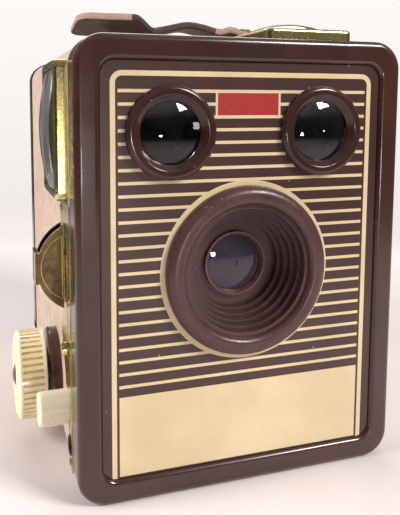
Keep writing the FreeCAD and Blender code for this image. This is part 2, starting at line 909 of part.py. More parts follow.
def trim_rivets():
    """Rivets with low round heads that hold the trim plate."""
    item = body("trim_rivets", x="-trim_face")
    front = "panel_back + 2.6"
    for row, height in (
        ("trim_wide - 1.6", "trim_high - 2.2"), (front, "lens_height - 7"), (front, "trim_low + 1.7"),
    ):
        pad(item, "YZ", "-0.3", "0", lambda s: circle(s, row, height, "0.75"))


def release_socket():
    """The bush for a cable release, with a square shank in the wall and a tapered mouth."""
    item = body("release_socket", y="socket_row", z="socket_height")
    face, end = "-trim_face - 0.2", "-inner_half + 3"
    turn(item, [
        (face, "0"), (face, "socket_radius"), (end, "socket_radius"), (end, "0"),
    ], plane="XZ")
    pad(item, "YZ", "-case_half", "-inner_half", lambda s: square(s, "0", "0", "socket_radius"))
    turn(item, [
        (face, "0"), (face, "socket_radius - 0.4"), ("-trim_face + 1.3", "socket_bore"),
        (end, "socket_bore"), (end, "0"),
    ], plane="XZ", kind="Groove")


def shutter_button():
    item = body("shutter_button", y="side_row", z="button_height")
    face = "-cover_half - button_travel - button_cap"
    collar = "-inner_half + fit_gap"
    turn(item, [
        (face, "0"), (face, "button_radius"), (collar, "button_radius"),
        (collar, "button_radius + 1.1"), (collar + " + 1", "button_radius + 1.1"),
        (collar + " + 1", "stem_radius"), ("stem_end", "stem_radius"), ("stem_end", "0"),
    ], plane="XZ")
    outer, tip = value(face), value("stem_end")
    big, small = value("button_radius"), value("stem_radius")
    soften(item, "0.9", lambda e: round_at(e, "X", outer, big))
    soften(item, "1.5", lambda e: round_at(e, "X", tip, small))


def button_spring():
    """A compression spring between the button's collar and the tab of the shutter plate."""
    item = body("button_spring", y="side_row", z="button_height")
    start = "-inner_half + fit_gap + 1.1 + spring_wire / 2"
    coil = "stem_radius + 0.35 + spring_wire / 2"
    sketch = sketch_on(item, "XZ", "0", lambda s: circle(s, start, coil, "spring_wire / 2"))
    spring = item.newObject("PartDesign::AdditiveHelix", "button_spring_coil")
    spring.Profile = sketch
    spring.ReferenceAxis = (sketch, ["H_Axis"])
    spring.Mode = 1
    spring.setExpression("Turns", ex("spring_turns"))
    end = "lever_pivot_side - 4 - 0.1 - spring_wire / 2"
    spring.setExpression("Pitch", ex("(%s - (%s)) / spring_turns" % (end, start)))


def selector_knob():
    """The time and instant selector: a small knob, its stem and the slide inside the wall."""
    item = body("selector_knob", y="side_row - 1.4", z="selector_height")
    face = "-trim_face - fit_gap"
    turn(item, [
        (face + " - 1.3", "0"), (face + " - 1.3", "selector_radius - 0.5"),
        (face + " - 0.8", "selector_radius"), (face, "selector_radius"),
        (face, "0.45"), ("-inner_half + 1", "0.45"), ("-inner_half + 1", "0"),
    ], plane="XZ")
    pad(
        item, "YZ", "-inner_half + fit_gap", "-inner_half + fit_gap + 0.8",
        lambda s: box(s, "-2.2", "-5.5", "2.2", "5.5"),
    )


def slide_guide():
    """A channel with two pairs of grooves for the slides."""
    item = body("slide_guide", z="lens_height")
    left, right = "-inner_half + 2", "slide_travel + slide_half + 2"
    front = "closeup_row - 1.6"
    outer, inner = "slide_half + 2.4", "slide_half - 0.8"
    pad(
        item, "YZ", left, right,
        lambda s: box(s, front, "-(%s)" % outer, "shutter_row", outer),
    )
    cut(
        item, "YZ", left, right,
        lambda s: box(s, front, "-(%s)" % inner, "shutter_row - shutter_wall", inner),
    )
    for row in ("closeup_row", "filter_row"):
        half = "slide_thick / 2 + fit_gap"
        back = "%s + %s" % (row, half)
        start = "%s - slide_thick / 2 - fit_gap" % row
        deep = "slide_half + fit_gap"
        cut(
            item, "YZ", left, right,
            lambda s: box(s, start, "-(%s)" % deep, back, deep),
        )
    cut(
        item, "XZ", "shutter_row - shutter_wall", "shutter_row",
        lambda s: circle(s, "0", "0", "slide_window - 0.6"),
    )


def slide(name):
    """A slide with an open window, a glass beyond it and a half-moon grip outside the case."""
    row = name + "_row"
    item = body(name + "_slide", z="lens_height")
    front = "%s - slide_thick / 2" % row
    back = "%s + slide_thick / 2" % row
    shoulder = "-slide_travel - 3"
    end = "slide_travel + slide_half + 1"

    def strip(sketch):
        outline(sketch, [
            ("-grip_face - 1", "-slide_neck"), (shoulder, "-slide_neck"),
            (shoulder, "-slide_half"), (end, "-slide_half"), (end, "slide_half"),
            (shoulder, "slide_half"), (shoulder, "slide_neck"),
            ("-grip_face - 1", "slide_neck"),
        ])
        circle(sketch, "0", "0", "slide_window")
        circle(sketch, "slide_travel", "0", "slide_window")

    pad(item, "XZ", front, back, strip)
    face = "%s - grip_thick / 2" % row
    rear = "%s + grip_thick / 2" % row
    chord, bow = "grip_chord / 2", "((grip_chord / 2)^2 + grip_reach^2) / (2 * grip_reach)"
    pad(
        item, "XZ", face, rear,
        lambda s: outline(
            s,
            [("-grip_face", "-" + chord), ("-grip_face", chord), ("-grip_face - grip_reach", "0")],
            {1: (bow, -1), 2: (bow, -1)},
        ),
    )
    # A shallow dish in the face, and a lip turned back at the tip to pull by.
    dish = "grip_reach - 1.5"
    chord_in = "grip_chord / 2 - 2.6"
    bow_in = "((%s)^2 + (%s)^2) / (2 * (%s))" % (chord_in, dish, dish)
    cut(
        item, "XZ", face, face + " + 0.5",
        lambda s: outline(
            s,
            [("-grip_face - 0.4", "-(%s)" % chord_in), ("-grip_face - 0.4", chord_in),
             ("-grip_face - 0.4 - (%s)" % dish, "0")],
            {1: (bow_in, -1), 2: (bow_in, -1)},
        ),
    )
    tip = "-grip_face - grip_reach"
    pad(
        item, "XZ", face, rear + " + 1.6",
        lambda s: box(s, tip + " - 0.4", "-4", tip + " + 0.6", "4"),
    )


def closeup_lens():
    item = body("closeup_lens", x="slide_travel", z="lens_height")
    rim = "(slide_window - running_gap)"
    bow = "(%s^2 + 0.7^2) / (2 * 0.7)" % rim
    turn(item, [
        ("closeup_row - 1.2", "0"), ("closeup_row - 0.5", rim),
        ("closeup_row + 0.5", rim), ("closeup_row + 1.2", "0"),
    ], {0: (bow, 1), 2: (bow, 1)})


def filter_glass():
    item = body("filter_glass", x="slide_travel", z="lens_height")
    rim = "slide_window - running_gap"
    turn(item, [
        ("filter_row - 0.5", "0"), ("filter_row - 0.5", rim),
        ("filter_row + 0.5", rim), ("filter_row + 0.5", "0"),
    ])


# ---------------------------------------------------------------- shutter
def shutter_plate():
    """The bulkhead that carries the slides, the stop and the shutter."""
    item = body("shutter_plate")
    half = "inner_half - 0.2"
    pad(
        item, "XZ", "shutter_row", "shutter_row + shutter_wall",
        lambda s: rounded(
            s, "-(%s)" % half, "inner_low + 0.2", half,
            "finder_height - finder_half - fit_gap", "case_corner - case_wall",
        ),
    )
    # The tab that backs the button's spring and steadies its stem.
    pad(
        item, "YZ", "lever_pivot_side - 4", "lever_pivot_side - 4 + shutter_wall",
        lambda s: box(
            s, "side_row - 3.4", "button_height - 4.5", "shutter_row + 0.4",
            "button_height + 4.5",
        ),
    )
    cut(
        item, "YZ", "lever_pivot_side - 5", "lever_pivot_side - 3",
        lambda s: circle(s, "side_row", "button_height", "stem_radius + running_gap"),
    )
    cut(
        item, "XZ", "shutter_row", "shutter_row + shutter_wall",
        lambda s: circle(s, "0", "lens_height", "slide_window - 0.6"),
    )


def stop_plate():
    """The fixed stop behind the shutter plate."""
    item = body("stop_plate", z="lens_height")
    back = "shutter_row + shutter_wall"

    def draw(sketch):
        circle(sketch, "0", "0", "slide_window + 1.6")
        circle(sketch, "0", "0", "stop_radius")

    pad(item, "XZ", back, back + " + 0.3", draw)


def shutter_posts():
    """The headed posts that the blade and the release lever turn on."""
    item = body("shutter_posts")
    blade = ("blade_pivot_side", "blade_pivot_height")
    lever = ("lever_pivot_side", "lever_pivot_height")
    back = "shutter_row + shutter_wall"
    spans = [
        (blade, back, "blade_row + 1.4", "post_radius"),
        (blade, "blade_row + 0.7", "blade_row + 1.4", "post_radius + 0.9"),
        (lever, "lever_row - 1.5", "shutter_row", "post_radius"),
        (lever, "lever_row - 1.5", "lever_row - 0.8", "post_radius + 0.9"),
        (lever, "lever_row + 1.1", "shutter_row", "post_radius + 0.6"),
    ]
    for spot, start, end, radius in spans:
        pad(item, "XZ", start, end, lambda s: circle(s, spot[0], spot[1], radius))


def shutter_blade():
    """A blade that covers the stop and swings about its post."""
    item = body("shutter_blade")
    front, back = "blade_row", "blade_row + 0.4"
    side, drop = value("blade_pivot_side"), value("blade_pivot_drop")
    pad(item, "XZ", front, back, lambda s: circle(s, "0", "lens_height", "blade_radius"))
    arm = "1.6 * blade_pivot_drop / %.4f" % math.hypot(side, drop)
    rise = "1.6 * blade_pivot_side / %.4f" % math.hypot(side, drop)
    pad(
        item, "XZ", front, back,
        lambda s: outline(s, [
            ("blade_pivot_side - " + arm, "blade_pivot_height - " + rise),
            ("blade_pivot_side + " + arm, "blade_pivot_height + " + rise),
            (arm, "lens_height + " + rise), ("-" + arm, "lens_height - " + rise),
        ]),
    )
    spot = ("blade_pivot_side", "blade_pivot_height")
    pad(item, "XZ", front, back, lambda s: circle(s, spot[0], spot[1], "post_radius + 1.7"))
    cut(
        item, "XZ", front, back,
        lambda s: circle(s, spot[0], spot[1], "post_radius + running_gap"),
    )


def release_lever():
    """A bell crank that the button's stem pushes."""
    item = body("release_lever", x="lever_pivot_side", z="lever_pivot_height")
    front, back = "lever_row - 0.4", "lever_row + 0.4"
    near = "stem_end + fit_gap - lever_pivot_side"
    pad(
        item, "XZ", front, back,
        lambda s: outline(s, [
            (near, "button_height - lever_pivot_height - 4"),
            (near + " + 1.8", "button_height - lever_pivot_height - 4"),
            ("2.4", "0"), (near, "0"),
        ]),
    )
    pad(item, "XZ", front, back, lambda s: circle(s, "0", "0", "post_radius + 1.7"))
    pad(
        item, "XZ", front, back,
        lambda s: outline(s, [("1", "-1.8"), ("12.5", "7.4"), ("11.3", "9.4"), ("-1", "1.8")]),
    )
    cut(item, "XZ", front, back, lambda s: circle(s, "0", "0", "post_radius + running_gap"))


# ---------------------------------------------------------------- winding and film
def winding_collar():
    item = body("winding_collar", y="winding_row", z="winding_height")
    face = "-collar_face"
    turn(item, [
        (face, "shaft_radius + running_gap"), (face, "collar_radius"),
        ("-cover_half", "collar_radius"), ("-cover_half", "shaft_radius + running_gap"),
    ], plane="XZ")
    outer, radius = value(face), value("collar_radius")
    soften(item, "0.8", lambda e: round_at(e, "X", outer, radius))


def winding_washer():
    item = body("winding_washer", y="winding_row", z="winding_height")
    turn(item, [
        ("-washer_face", "shaft_radius + running_gap"), ("-washer_face", "6.5"),
        ("-washer_face + washer_thick", "6.5"),
        ("-washer_face + washer_thick", "shaft_radius + running_gap"),
    ], plane="XZ")


def winding_knob():
    """The ribbed knob, with a smooth rim on each side of the ribs."""
    item = body("winding_knob", y="winding_row", z="winding_height")
    bore = "shaft_radius + running_gap"
    turn(item, [
        ("-knob_face", "0"), ("-knob_face", "cap_radius + 1"),
        ("-knob_face - 0.5", "cap_radius + 2.2"), ("-knob_face - 0.5", "knob_radius - 1.8"),
        ("-knob_face + 0.5", "knob_radius"), ("-knob_back", "knob_radius"),
        ("-knob_back", bore), ("-knob_face + 1.5", bore), ("-knob_face + 1.5", "0"),
    ], plane="XZ")
    notch = cut(
        item, "YZ", "-knob_face + 1.1", "-knob_back - 0.9",
        lambda s: outline(s, [
            ("-0.5", "knob_radius + 0.3"), ("-0.28", "knob_radius - 0.45"),
            ("0.28", "knob_radius - 0.45"), ("0.5", "knob_radius + 0.3"),
        ]),
    )
    ring_of(item, notch, "X", "knob_ribs")


def knob_cap():
    item = body("knob_cap", y="winding_row", z="winding_height")
    face = "-knob_face"
    bow = "(cap_radius^2 + cap_rise^2) / (2 * cap_rise)"
    turn(item, [
        (face + " - cap_rise", "0"), (face, "cap_radius"), (face, "0"),
    ], {0: (bow, 1)}, plane="XZ")


def winding_shaft():
    """The shaft from the knob to the spool, ending in a flat key."""
    item = body("winding_shaft", y="winding_row", z="winding_height")
    start, end = "-knob_face + 1.6", "-spool_half - 0.5"
    turn(item, [
        (start, "0"), (start, "shaft_radius"), (end, "shaft_radius"), (end, "0"),
    ], plane="XZ")
    pad(
        item, "YZ", end, "spool_tip",
        lambda s: box(
            s, "-key_width / 2", "-key_thick / 2", "key_width / 2", "key_thick / 2",
        ),
    )


def take_up_spool():
    """A metal spool with thin flanges, a key slot, a pivot hole and a slit for the film."""
    item = body("take_up_spool", y="winding_row", z="winding_height")
    half = "spool_half"
    turn(item, [
        ("-" + half, "0"), ("-" + half, "spool_flange"),
        ("-%s + 0.7" % half, "spool_flange"), ("-%s + 0.7" % half, "spool_core"),
        (half + " - 0.7", "spool_core"), (half + " - 0.7", "spool_flange"),
        (half, "spool_flange"), (half, "0"),
    ], plane="XZ")
    cut(
        item, "YZ", "-" + half, "spool_tip + 0.8",
        lambda s: box(
            s, "-key_width / 2 - fit_gap", "-key_thick / 2 - fit_gap",
            "key_width / 2 + fit_gap", "key_thick / 2 + fit_gap",
        ),
    )
    cut(item, "YZ", half + " - 5", half, lambda s: circle(s, "0", "0", "shaft_radius"))
    cut(
        item, "XY", "-spool_core - 1", "spool_core + 1",
        lambda s: box(s, "-20", "-0.6", "20", "0.6"),
    )


def spool_pivots():
    """Pins with heads, set in the side plates of the roll holder."""
    item = body("spool_pivots")
    take_up = ("winding_row", "winding_height")
    supply = ("supply_row", "supply_height")
    pin, head = "shaft_radius - running_gap", "shaft_radius + 1"
    face, back = "holder_half", "holder_half + holder_wall"
    for spot, low, high, radius in (
        (take_up, "spool_half - 4.5", back, pin),
        (take_up, back, back + " + 0.6", head),
        (supply, "spool_half - 3", back, pin),
        (supply, back, back + " + 0.6", head),
        (supply, "-%s - holder_wall" % face, "-spool_half + 3", pin),
        (supply, "-%s - holder_wall - 0.6" % face, "-%s - holder_wall" % face, head),
    ):
        pad(item, "YZ", low, high, lambda s: circle(s, spot[0], spot[1], radius))


def roll_holder():
    """The light cone, the film gate and two side plates with the roller bearings."""
    item = body("roll_holder")
    outer = "holder_half + holder_wall"
    gate_low = "roller_low + roller_radius + 0.5"
    gate_high = "roller_high - roller_radius - 0.5"
    pad(
        item, "XZ", "gate_row", "gate_back",
        lambda s: box(s, "-(%s)" % outer, gate_low, outer, gate_high),
    )
    pad(
        item, "XZ", "cone_front", "cone_front + holder_wall",
        lambda s: box(
            s, "-(%s)" % outer, "lens_height - cone_mouth - 3", outer,
            "lens_height + cone_mouth + 3",
        ),
    )
    plate = [
        ("blade_row + 0.4 + fit_gap", "2.6"), ("gate_back", "2.6"),
        ("gate_back", "body_height - 2.6"), ("supply_row - 13", "body_height - 2.6"),
        ("supply_row - 13", "78"), ("cone_front", "68"), ("cone_front", "41"),
        ("blade_row + 0.4 + fit_gap", "32"),
    ]
    pad(item, "YZ", "-(%s)" % outer, "-holder_half", lambda s: outline(s, plate))
    pad(item, "YZ", "holder_half", outer, lambda s: outline(s, plate))

    def mouth(sketch, wide, tall):
        box(
            sketch, "-(%s)" % wide, "lens_height - (%s)" % tall, wide,
            "lens_height + " + tall,
        )

    loft(item, "AdditiveLoft", "XZ", [
        ("cone_front", lambda s: mouth(s, "cone_mouth", "cone_mouth")),
        ("gate_row", lambda s: mouth(
            s, "gate_width / 2 + holder_wall", "gate_height / 2 + holder_wall",
        )),
    ])
    loft(item, "SubtractiveLoft", "XZ", [
        ("cone_front", lambda s: mouth(s, "cone_mouth - holder_wall", "cone_mouth - holder_wall")),
        ("gate_row", lambda s: mouth(s, "gate_width / 2", "gate_height / 2")),
    ])
    cut(
        item, "XZ", "gate_row", "gate_back",
        lambda s: mouth(s, "gate_width / 2", "gate_height / 2"),
    )

    def bearings(sketch):
        circle(sketch, "roller_row", "roller_high", "post_radius + running_gap")
        circle(sketch, "roller_row", "roller_low", "post_radius + running_gap")

    cut(item, "YZ", "-(%s)" % outer, outer, bearings)
    cut(
        item, "YZ", "-(%s)" % outer, "-holder_half",
        lambda s: circle(s, "winding_row", "winding_height", "shaft_radius + 1.5"),
    )
    for side in ("-(%s)" % outer, "holder_half"):
        end = "-holder_half" if side.startswith("-") else outer

        def pins(sketch):
            circle(sketch, "supply_row", "supply_height", "shaft_radius - running_gap")
            if not side.startswith("-"):
                circle(sketch, "winding_row", "winding_height", "shaft_radius - running_gap")

        cut(item, "YZ", side, end, pins)


def film_roller(label, height):
    item = body(label, y="roller_row", z=height)
    half = "holder_half - 1.5"
    end = "holder_half + holder_wall + 0.6"
    turn(item, [
        ("-(%s)" % end, "0"), ("-(%s)" % end, "post_radius"),
        ("-(%s)" % half, "post_radius"), ("-(%s)" % half, "roller_radius"),
        (half, "roller_radius"), (half, "post_radius"), (end, "post_radius"), (end, "0"),
    ], plane="XZ")


# ---------------------------------------------------------------- back door
KNUCKLES_DOOR = (("-knuckle_far", "-knuckle_near"), ("knuckle_near", "knuckle_far"))
KNUCKLES_CASE = (
    ("-hinge_width / 2", "-knuckle_far - fit_gap"),
    ("-knuckle_near + fit_gap", "knuckle_near - fit_gap"),
    ("knuckle_far + fit_gap", "hinge_width / 2"),
)


def back_door():
    """A pressed pan that wraps the rear of the case, hinged along its lower edge."""
    item = body("back_door")
    pad(
        item, "XZ", "door_front", "door_back",
        lambda s: rounded(s, "-door_half", "0", "door_half", "body_height", "panel_corner"),
    )
    cut(
        item, "XZ", "door_front", "door_inside",
        lambda s: rounded(
            s, "-door_half + door_wall", "door_wall", "door_half - door_wall",
            "body_height - door_wall", "panel_corner - door_wall",
        ),
    )
    back = value("door_back")
    soften(item, "0.7", lambda e: flat_at(e, "Y", back))
    cut(
        item, "XZ", "door_front", "door_inside",
        lambda s: box(s, "-door_half - 1", "-1", "door_half + 1", "panel_corner + 2"),
    )
    cut(item, "XZ", "door_inside", "door_back", lambda s: outline(
        s,
        [("-door_half - 1", "-1"), ("door_half + 1", "-1"),
         ("door_half + 1", "door_low + door_corner"),
         ("door_half + 1 - door_corner", "door_low"),
         ("-door_half - 1 + door_corner", "door_low"),
         ("-door_half - 1", "door_low + door_corner")],
        {2: ("door_corner", 1), 4: ("door_corner", 1)},
    ))
    cut(
        item, "XZ", "door_inside", "door_back",
        lambda s: circle(s, "0", "window_height", "window_radius"),
    )
    for start, end in KNUCKLES_DOOR:
        pad(item, "YZ", start, end, lambda s: circle(s, "hinge_row", "hinge_radius", "hinge_radius"))
        pad(
            item, "YZ", start, end,
            lambda s: box(s, "door_inside", "hinge_radius", "door_back", "door_low + 1"),
        )
    cut(
        item, "YZ", "-hinge_width / 2", "hinge_width / 2",
        lambda s: circle(s, "hinge_row", "hinge_radius", "hinge_pin + running_gap"),
    )
    # The bead that the catch snaps over.
    pad(
        item, "XY", "body_height - 0.1", "catch_low - running_gap",
        lambda s: box(s, "-5", "door_inside - 2.2", "5", "door_inside - 1.2"),
    )


def door_covering():
    item = body("door_covering")

    def draw(sketch):
        rounded(sketch, "-door_half + 4", "7", "door_half - 4", "body_height - 4", "4")
        rounded(
            sketch, "-window_radius - 4", "window_height - window_radius - 4",
            "window_radius + window_travel + 5", "window_height + window_radius + 4", "1.5",
        )

    pad(item, "XZ", "door_back", "door_back + 0.5", draw)


def red_window():
    item = body("red_window", z="window_height")
    pad(
        item, "XZ", "door_inside - 0.5", "door_inside",
        lambda s: circle(s, "0", "0", "window_radius + 1.5"),
    )


def window_guide():
    """A plate with two lips that hold the sliding cover of the window."""
    item = body("window_guide", z="window_height")
    left, right = "-window_radius - 3.5", "window_radius + window_travel + 4.5"
    tall = "window_radius + 3.5"
    pad(item, "XZ", "door_back", "door_back + 2.2", lambda s: rounded(
        s, left, "-(%s)" % tall, right, tall, "1.2",
    ))
    cut(item, "XZ", "door_back + 0.5", "door_back + 1.7", lambda s: box(
        s, "-window_radius - 2.5", "-(%s) + 1" % tall, "window_radius + window_travel + 3.5",
        tall + " - 1",
    ))
    cut(item, "XZ", "door_back + 1.7", "door_back + 2.2", lambda s: box(
        s, "-window_radius - 1.5", "-(%s) + 2.2" % tall, "window_radius + window_travel + 2.5",
        tall + " - 2.2",
    ))
    cut(item, "XZ", "door_back", "door_back + 0.5", lambda s: circle(
        s, "0", "0", "window_radius",
    ))


def window_cover():
    item = body("window_cover", z="window_height")
    tall = "window_radius + 2.2"
    pad(item, "XZ", "door_back + 0.8", "door_back + 1.4", lambda s: box(
        s, "-window_radius - 2.2", "-(%s)" % tall, "window_radius + 3.2", tall,
    ))
    pad(item, "XZ", "door_back + 1.4", "door_back + 2.6", lambda s: box(
        s, "window_radius - 1", "-3", "window_radius", "3",
    ))


def hinge_leaf():
    """The case's half of the hinge: a leaf on the floor and its knuckles."""
    item = body("hinge_leaf")
    edge = "hinge_row - hinge_radius - fit_gap"
    pad(
        item, "XY", "inner_low", "inner_low + 0.5",
        lambda s: box(s, "-hinge_width / 2", edge + " - 6", "hinge_width / 2", edge),
    )
    for start, end in KNUCKLES_CASE:
        pad(item, "YZ", start, end, lambda s: circle(s, "hinge_row", "hinge_radius", "hinge_radius"))
        pad(
            item, "YZ", start, end,
            lambda s: box(s, edge + " - 0.2", "inner_low", "hinge_row - 0.7", "inner_low + 0.5"),
        )
    cut(
        item, "YZ", "-hinge_width / 2", "hinge_width / 2",
        lambda s: circle(s, "hinge_row", "hinge_radius", "hinge_pin + running_gap"),
    )


def hinge_pin():
    item = body("hinge_pin", y="hinge_row", z="hinge_radius")
    pad(item, "YZ", "-hinge_width / 2", "hinge_width / 2", lambda s: circle(s, "0", "0", "hinge_pin"))


def catch_bracket():
    item = body("catch_bracket")
    half = "catch_width / 2 + fit_gap"
    pad(
        item, "XY", "cover_high", "cover_high + 0.4",
        lambda s: box(s, "-(%s) - 0.8" % half, "catch_row - 3", half + " + 0.8", "catch_row + 3"),
    )
    for low, high in (("-(%s) - 0.8" % half, "-(%s)" % half), (half, half + " + 0.8")):
        pad(
            item, "YZ", low, high,
            lambda s: outline(s, [
                ("catch_row - 2", "cover_high"), ("catch_row + 2", "cover_high"),
                ("catch_row + 1.2", "catch_pin_height + 1.1"),
                ("catch_row - 1.2", "catch_pin_height + 1.1"),
            ]),
        )
    cut(
        item, "YZ", "-(%s) - 1" % half, half + " + 1",
        lambda s: circle(s, "catch_row", "catch_pin_height", "hinge_pin + running_gap"),
    )


def catch_pin():
    item = body("catch_pin", y="catch_row", z="catch_pin_height")
    half = "catch_width / 2 + fit_gap + 1.1"
    pad(item, "YZ", "-(%s)" % half, half, lambda s: circle(s, "0", "0", "hinge_pin"))


def back_catch():
    """A sprung tongue that snaps over the bead on the door, with its end turned up."""
    item = body("back_catch")
    half = "catch_width / 2"
    tip = "catch_row + catch_length"
    pad(
        item, "YZ", "-" + half, half,
        lambda s: circle(s, "catch_row", "catch_pin_height", "hinge_pin + 0.6"),
    )
    pad(
        item, "XY", "catch_low", "catch_low + catch_thick",
        lambda s: box(s, "-" + half, "catch_row", half, tip),
    )
    pad(
        item, "YZ", "-" + half, half,
        lambda s: outline(s, [
            (tip + " - 1.2", "catch_low"), (tip, "catch_low"),
            (tip + " + 1.0", "catch_low + 2.4"), (tip + " + 0.2", "catch_low + 2.4"),
        ]),
    )
    cut(
        item, "YZ", "-" + half, half,
        lambda s: circle(s, "catch_row", "catch_pin_height", "hinge_pin + running_gap"),
    )


# ---------------------------------------------------------------- top and base
def carrying_strap():
    """A leather strap, laid in a shallow wave over its two studs, with a slot at each end."""
    item = doc.addObject("Part::Feature", "carrying_strap")
    item.Label = "carrying_strap"
    parts.append(item)
    roof, row = value("cover_high"), value("strap_row")
    half, thick = value("strap_length") / 2, value("strap_thick")
    stud, grip = value("stud_spacing") / 2, value("stud_slot") / 2
    rest, rise = roof + value("strap_rest"), value("strap_end_rise")
    # Heights of the middle of the leather along the strap, from the raised end to the other.
    wave = [
        (-half, rest + rise), (-stud - 2.3 * grip, rest + 0.4 * rise),
        (-stud - grip, rest), (-stud + grip, rest), (-stud / 2, rest + 0.5),
        (0, roof + value("strap_hump") - thick / 2), (stud / 2, rest + 0.5),
        (stud - grip, rest), (stud + grip, rest), (half, rest + 0.5),
    ]
    middle = Part.BSplineCurve()
    middle.interpolate([Vector(x, 0, z) for x, z in wave])
    edges = []
    for side in (1, -1):
        skin = []
        for step in range(25):
            at = middle.FirstParameter + step / 24 * (middle.LastParameter - middle.FirstParameter)
            along = middle.tangent(at)[0]
            skin.append(middle.value(at) + Vector(-along.z, 0, along.x) * side * thick / 2)
        curve = Part.BSplineCurve()
        curve.interpolate(skin)
        edges.append(curve.toShape())
    ends = [
        Part.makeLine(edges[0].valueAt(edge_end), edges[1].valueAt(other_end))
        for edge_end, other_end in (
            (edges[0].FirstParameter, edges[1].FirstParameter),
            (edges[0].LastParameter, edges[1].LastParameter),
        )
    ]
    section = Part.Face(Part.Wire(Part.__sortEdges__([edges[0], ends[1], edges[1], ends[0]])))
    wide, neck = value("strap_width") / 2, value("strap_neck") / 2
    section.translate(Vector(0, -wide, 0))
    leather = section.extrude(Vector(0, 2 * wide, 0))
    # The plan: full width at the slots, narrow in the middle, with round ends.
    side_line = [(half, wide), (stud - 3, wide), (stud - 9, neck)]
    corners = side_line + [(-x, y) for x, y in reversed(side_line)]
    corners += [(x, -y) for x, y in reversed(corners)]
    loop = [Vector(x, y, roof - 5) for x, y in corners]
    plan = Part.Face(Part.makePolygon(loop + loop[:1])).extrude(Vector(0, 0, 25))
    upright = [
        edge for edge in plan.Edges
        if abs(edge.Vertexes[0].Z - edge.Vertexes[1].Z) > 1 and abs(edge.Vertexes[0].X) > half - 1
    ]
    plan = plan.makeFillet(wide - 2.5, upright)
    leather = leather.common(plan)
    slot_half, slot_round = value("stud_slot") / 2, value("stud_radius") + 0.3
    for side in (-1, 1):
        slot = Part.makeBox(
            2 * slot_half, 2 * slot_round, 25, Vector(side * stud - slot_half, -slot_round, roof - 5)
        )
        tall = [edge for edge in slot.Edges if abs(edge.Vertexes[0].Z - edge.Vertexes[1].Z) > 1]
        leather = leather.cut(slot.makeFillet(slot_round - 0.05, tall))
    item.Shape = leather.Solids[0]
    item.Placement = FreeCAD.Placement(Vector(0, row, 0), FreeCAD.Rotation())


def strap_studs():
    """Two studs, each a foot and a cone that lift the strap, and a head that holds it."""
    item = body("strap_studs", x="-stud_spacing / 2", y="strap_row")
    neck, shoulder = "stud_radius", "cover_high + stud_shoulder"
    head = "cover_high + strap_rest + strap_thick / 2 + 0.3"
    stud = turn(item, [
        ("0", "inner_high - 0.6"), ("stud_radius + 0.9", "inner_high - 0.6"),
        ("stud_radius + 0.9", "inner_high"), (neck, "inner_high"), (neck, "cover_high"),
        ("stud_foot", "cover_high"), ("stud_foot", "cover_high + 0.7"),
        ("stud_foot - 0.7", "cover_high + 1"), ("stud_radius + 0.4", shoulder), (neck, shoulder),
        (neck, head), ("stud_head", head), ("stud_head", head + " + 0.5"), ("0", head + " + 1.6"),
    ], {12: ("(stud_head^2 + 1.1^2) / (2 * 1.1)", -1)}, plane="XZ", axis="V_Axis")
    row_of(item, [stud], "X", "stud_spacing")


def tripod_bush():
    """A flanged bush with a square shank in the floor and a blind bore for the tripod screw."""
    item = body("tripod_bush")
    turn(item, [
        ("0", "0"), ("bush_flange", "0"), ("bush_flange", "cover_low"),
        ("bush_radius", "cover_low"), ("bush_radius", "bush_height"), ("0", "bush_height"),
    ], plane="XZ", axis="V_Axis")
    pad(item, "XY", "cover_low", "inner_low", lambda s: square(s, "0", "0", "bush_radius"))
    turn(item, [
        ("0", "0"), ("bush_bore + 0.3", "0"), ("bush_bore", "0.3"), ("bush_bore", "bush_depth"),
        ("0", "bush_depth"),
    ], plane="XZ", axis="V_Axis", kind="Groove")


# ---------------------------------------------------------------- write the files
def check_document():
    for feature in doc.Objects:
        if {"Invalid", "Error"} & set(feature.State):
            raise RuntimeError("%s failed: %s" % (feature.Label, feature.State))
        base = getattr(feature, "BaseFeature", None)
        if base is not None and feature.TypeId in ("PartDesign::Pocket", "PartDesign::Groove"):
            if feature.Shape.Volume > base.Shape.Volume - 1e-6:
                raise RuntimeError(feature.Label + " cuts nothing")
    for item in parts:
        if item.Shape.isNull() or not item.Shape.isValid() or not item.Shape.Solids:
            raise RuntimeError(item.Label + " has no valid shape")


case_shell()
case_covering()
front_panel()
face_plate()
lens_bezel()
lens()
lens_retainer()
for finder in FINDERS:
    finder_bezel(finder)
    finder_objective(finder)
    finder_box(finder)
    finder_mirror(finder)
    finder_frame(finder)
    finder_dome(finder)
trim_plate()
trim_rivets()
release_socket()
shutter_button()
button_spring()
selector_knob()
slide_guide()
for name in ("closeup", "filter"):
    slide(name)
closeup_lens()
filter_glass()
shutter_plate()
stop_plate()
shutter_posts()
shutter_blade()
release_lever()
winding_collar()
winding_washer()
winding_knob()
knob_cap()
winding_shaft()
take_up_spool()
spool_pivots()
roll_holder()
film_roller("upper_roller", "roller_high")
film_roller("lower_roller", "roller_low")
back_door()
door_covering()
red_window()
window_guide()
window_cover()
hinge_leaf()
hinge_pin()
catch_bracket()
catch_pin()
back_catch()
carrying_strap()
strap_studs()
tripod_bush()

doc.recompute()
check_document()
for item in parts:
    item.Shape.exportStep("parts/%s.step" % item.Label)
print("wrote %d parts" % len(parts))
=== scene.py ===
"""The looks of the box camera: its finishes, the leather strap, a pale floor, soft light and the camera.

The frame's axes are the part's own: X runs to the right as seen from in front of the lens, Y from the
front to the back door, Z up. Lengths below are in millimetres unless a name says otherwise.
"""

import bisect
import math

import bmesh
import bpy
from mathutils import Euler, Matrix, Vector, noise


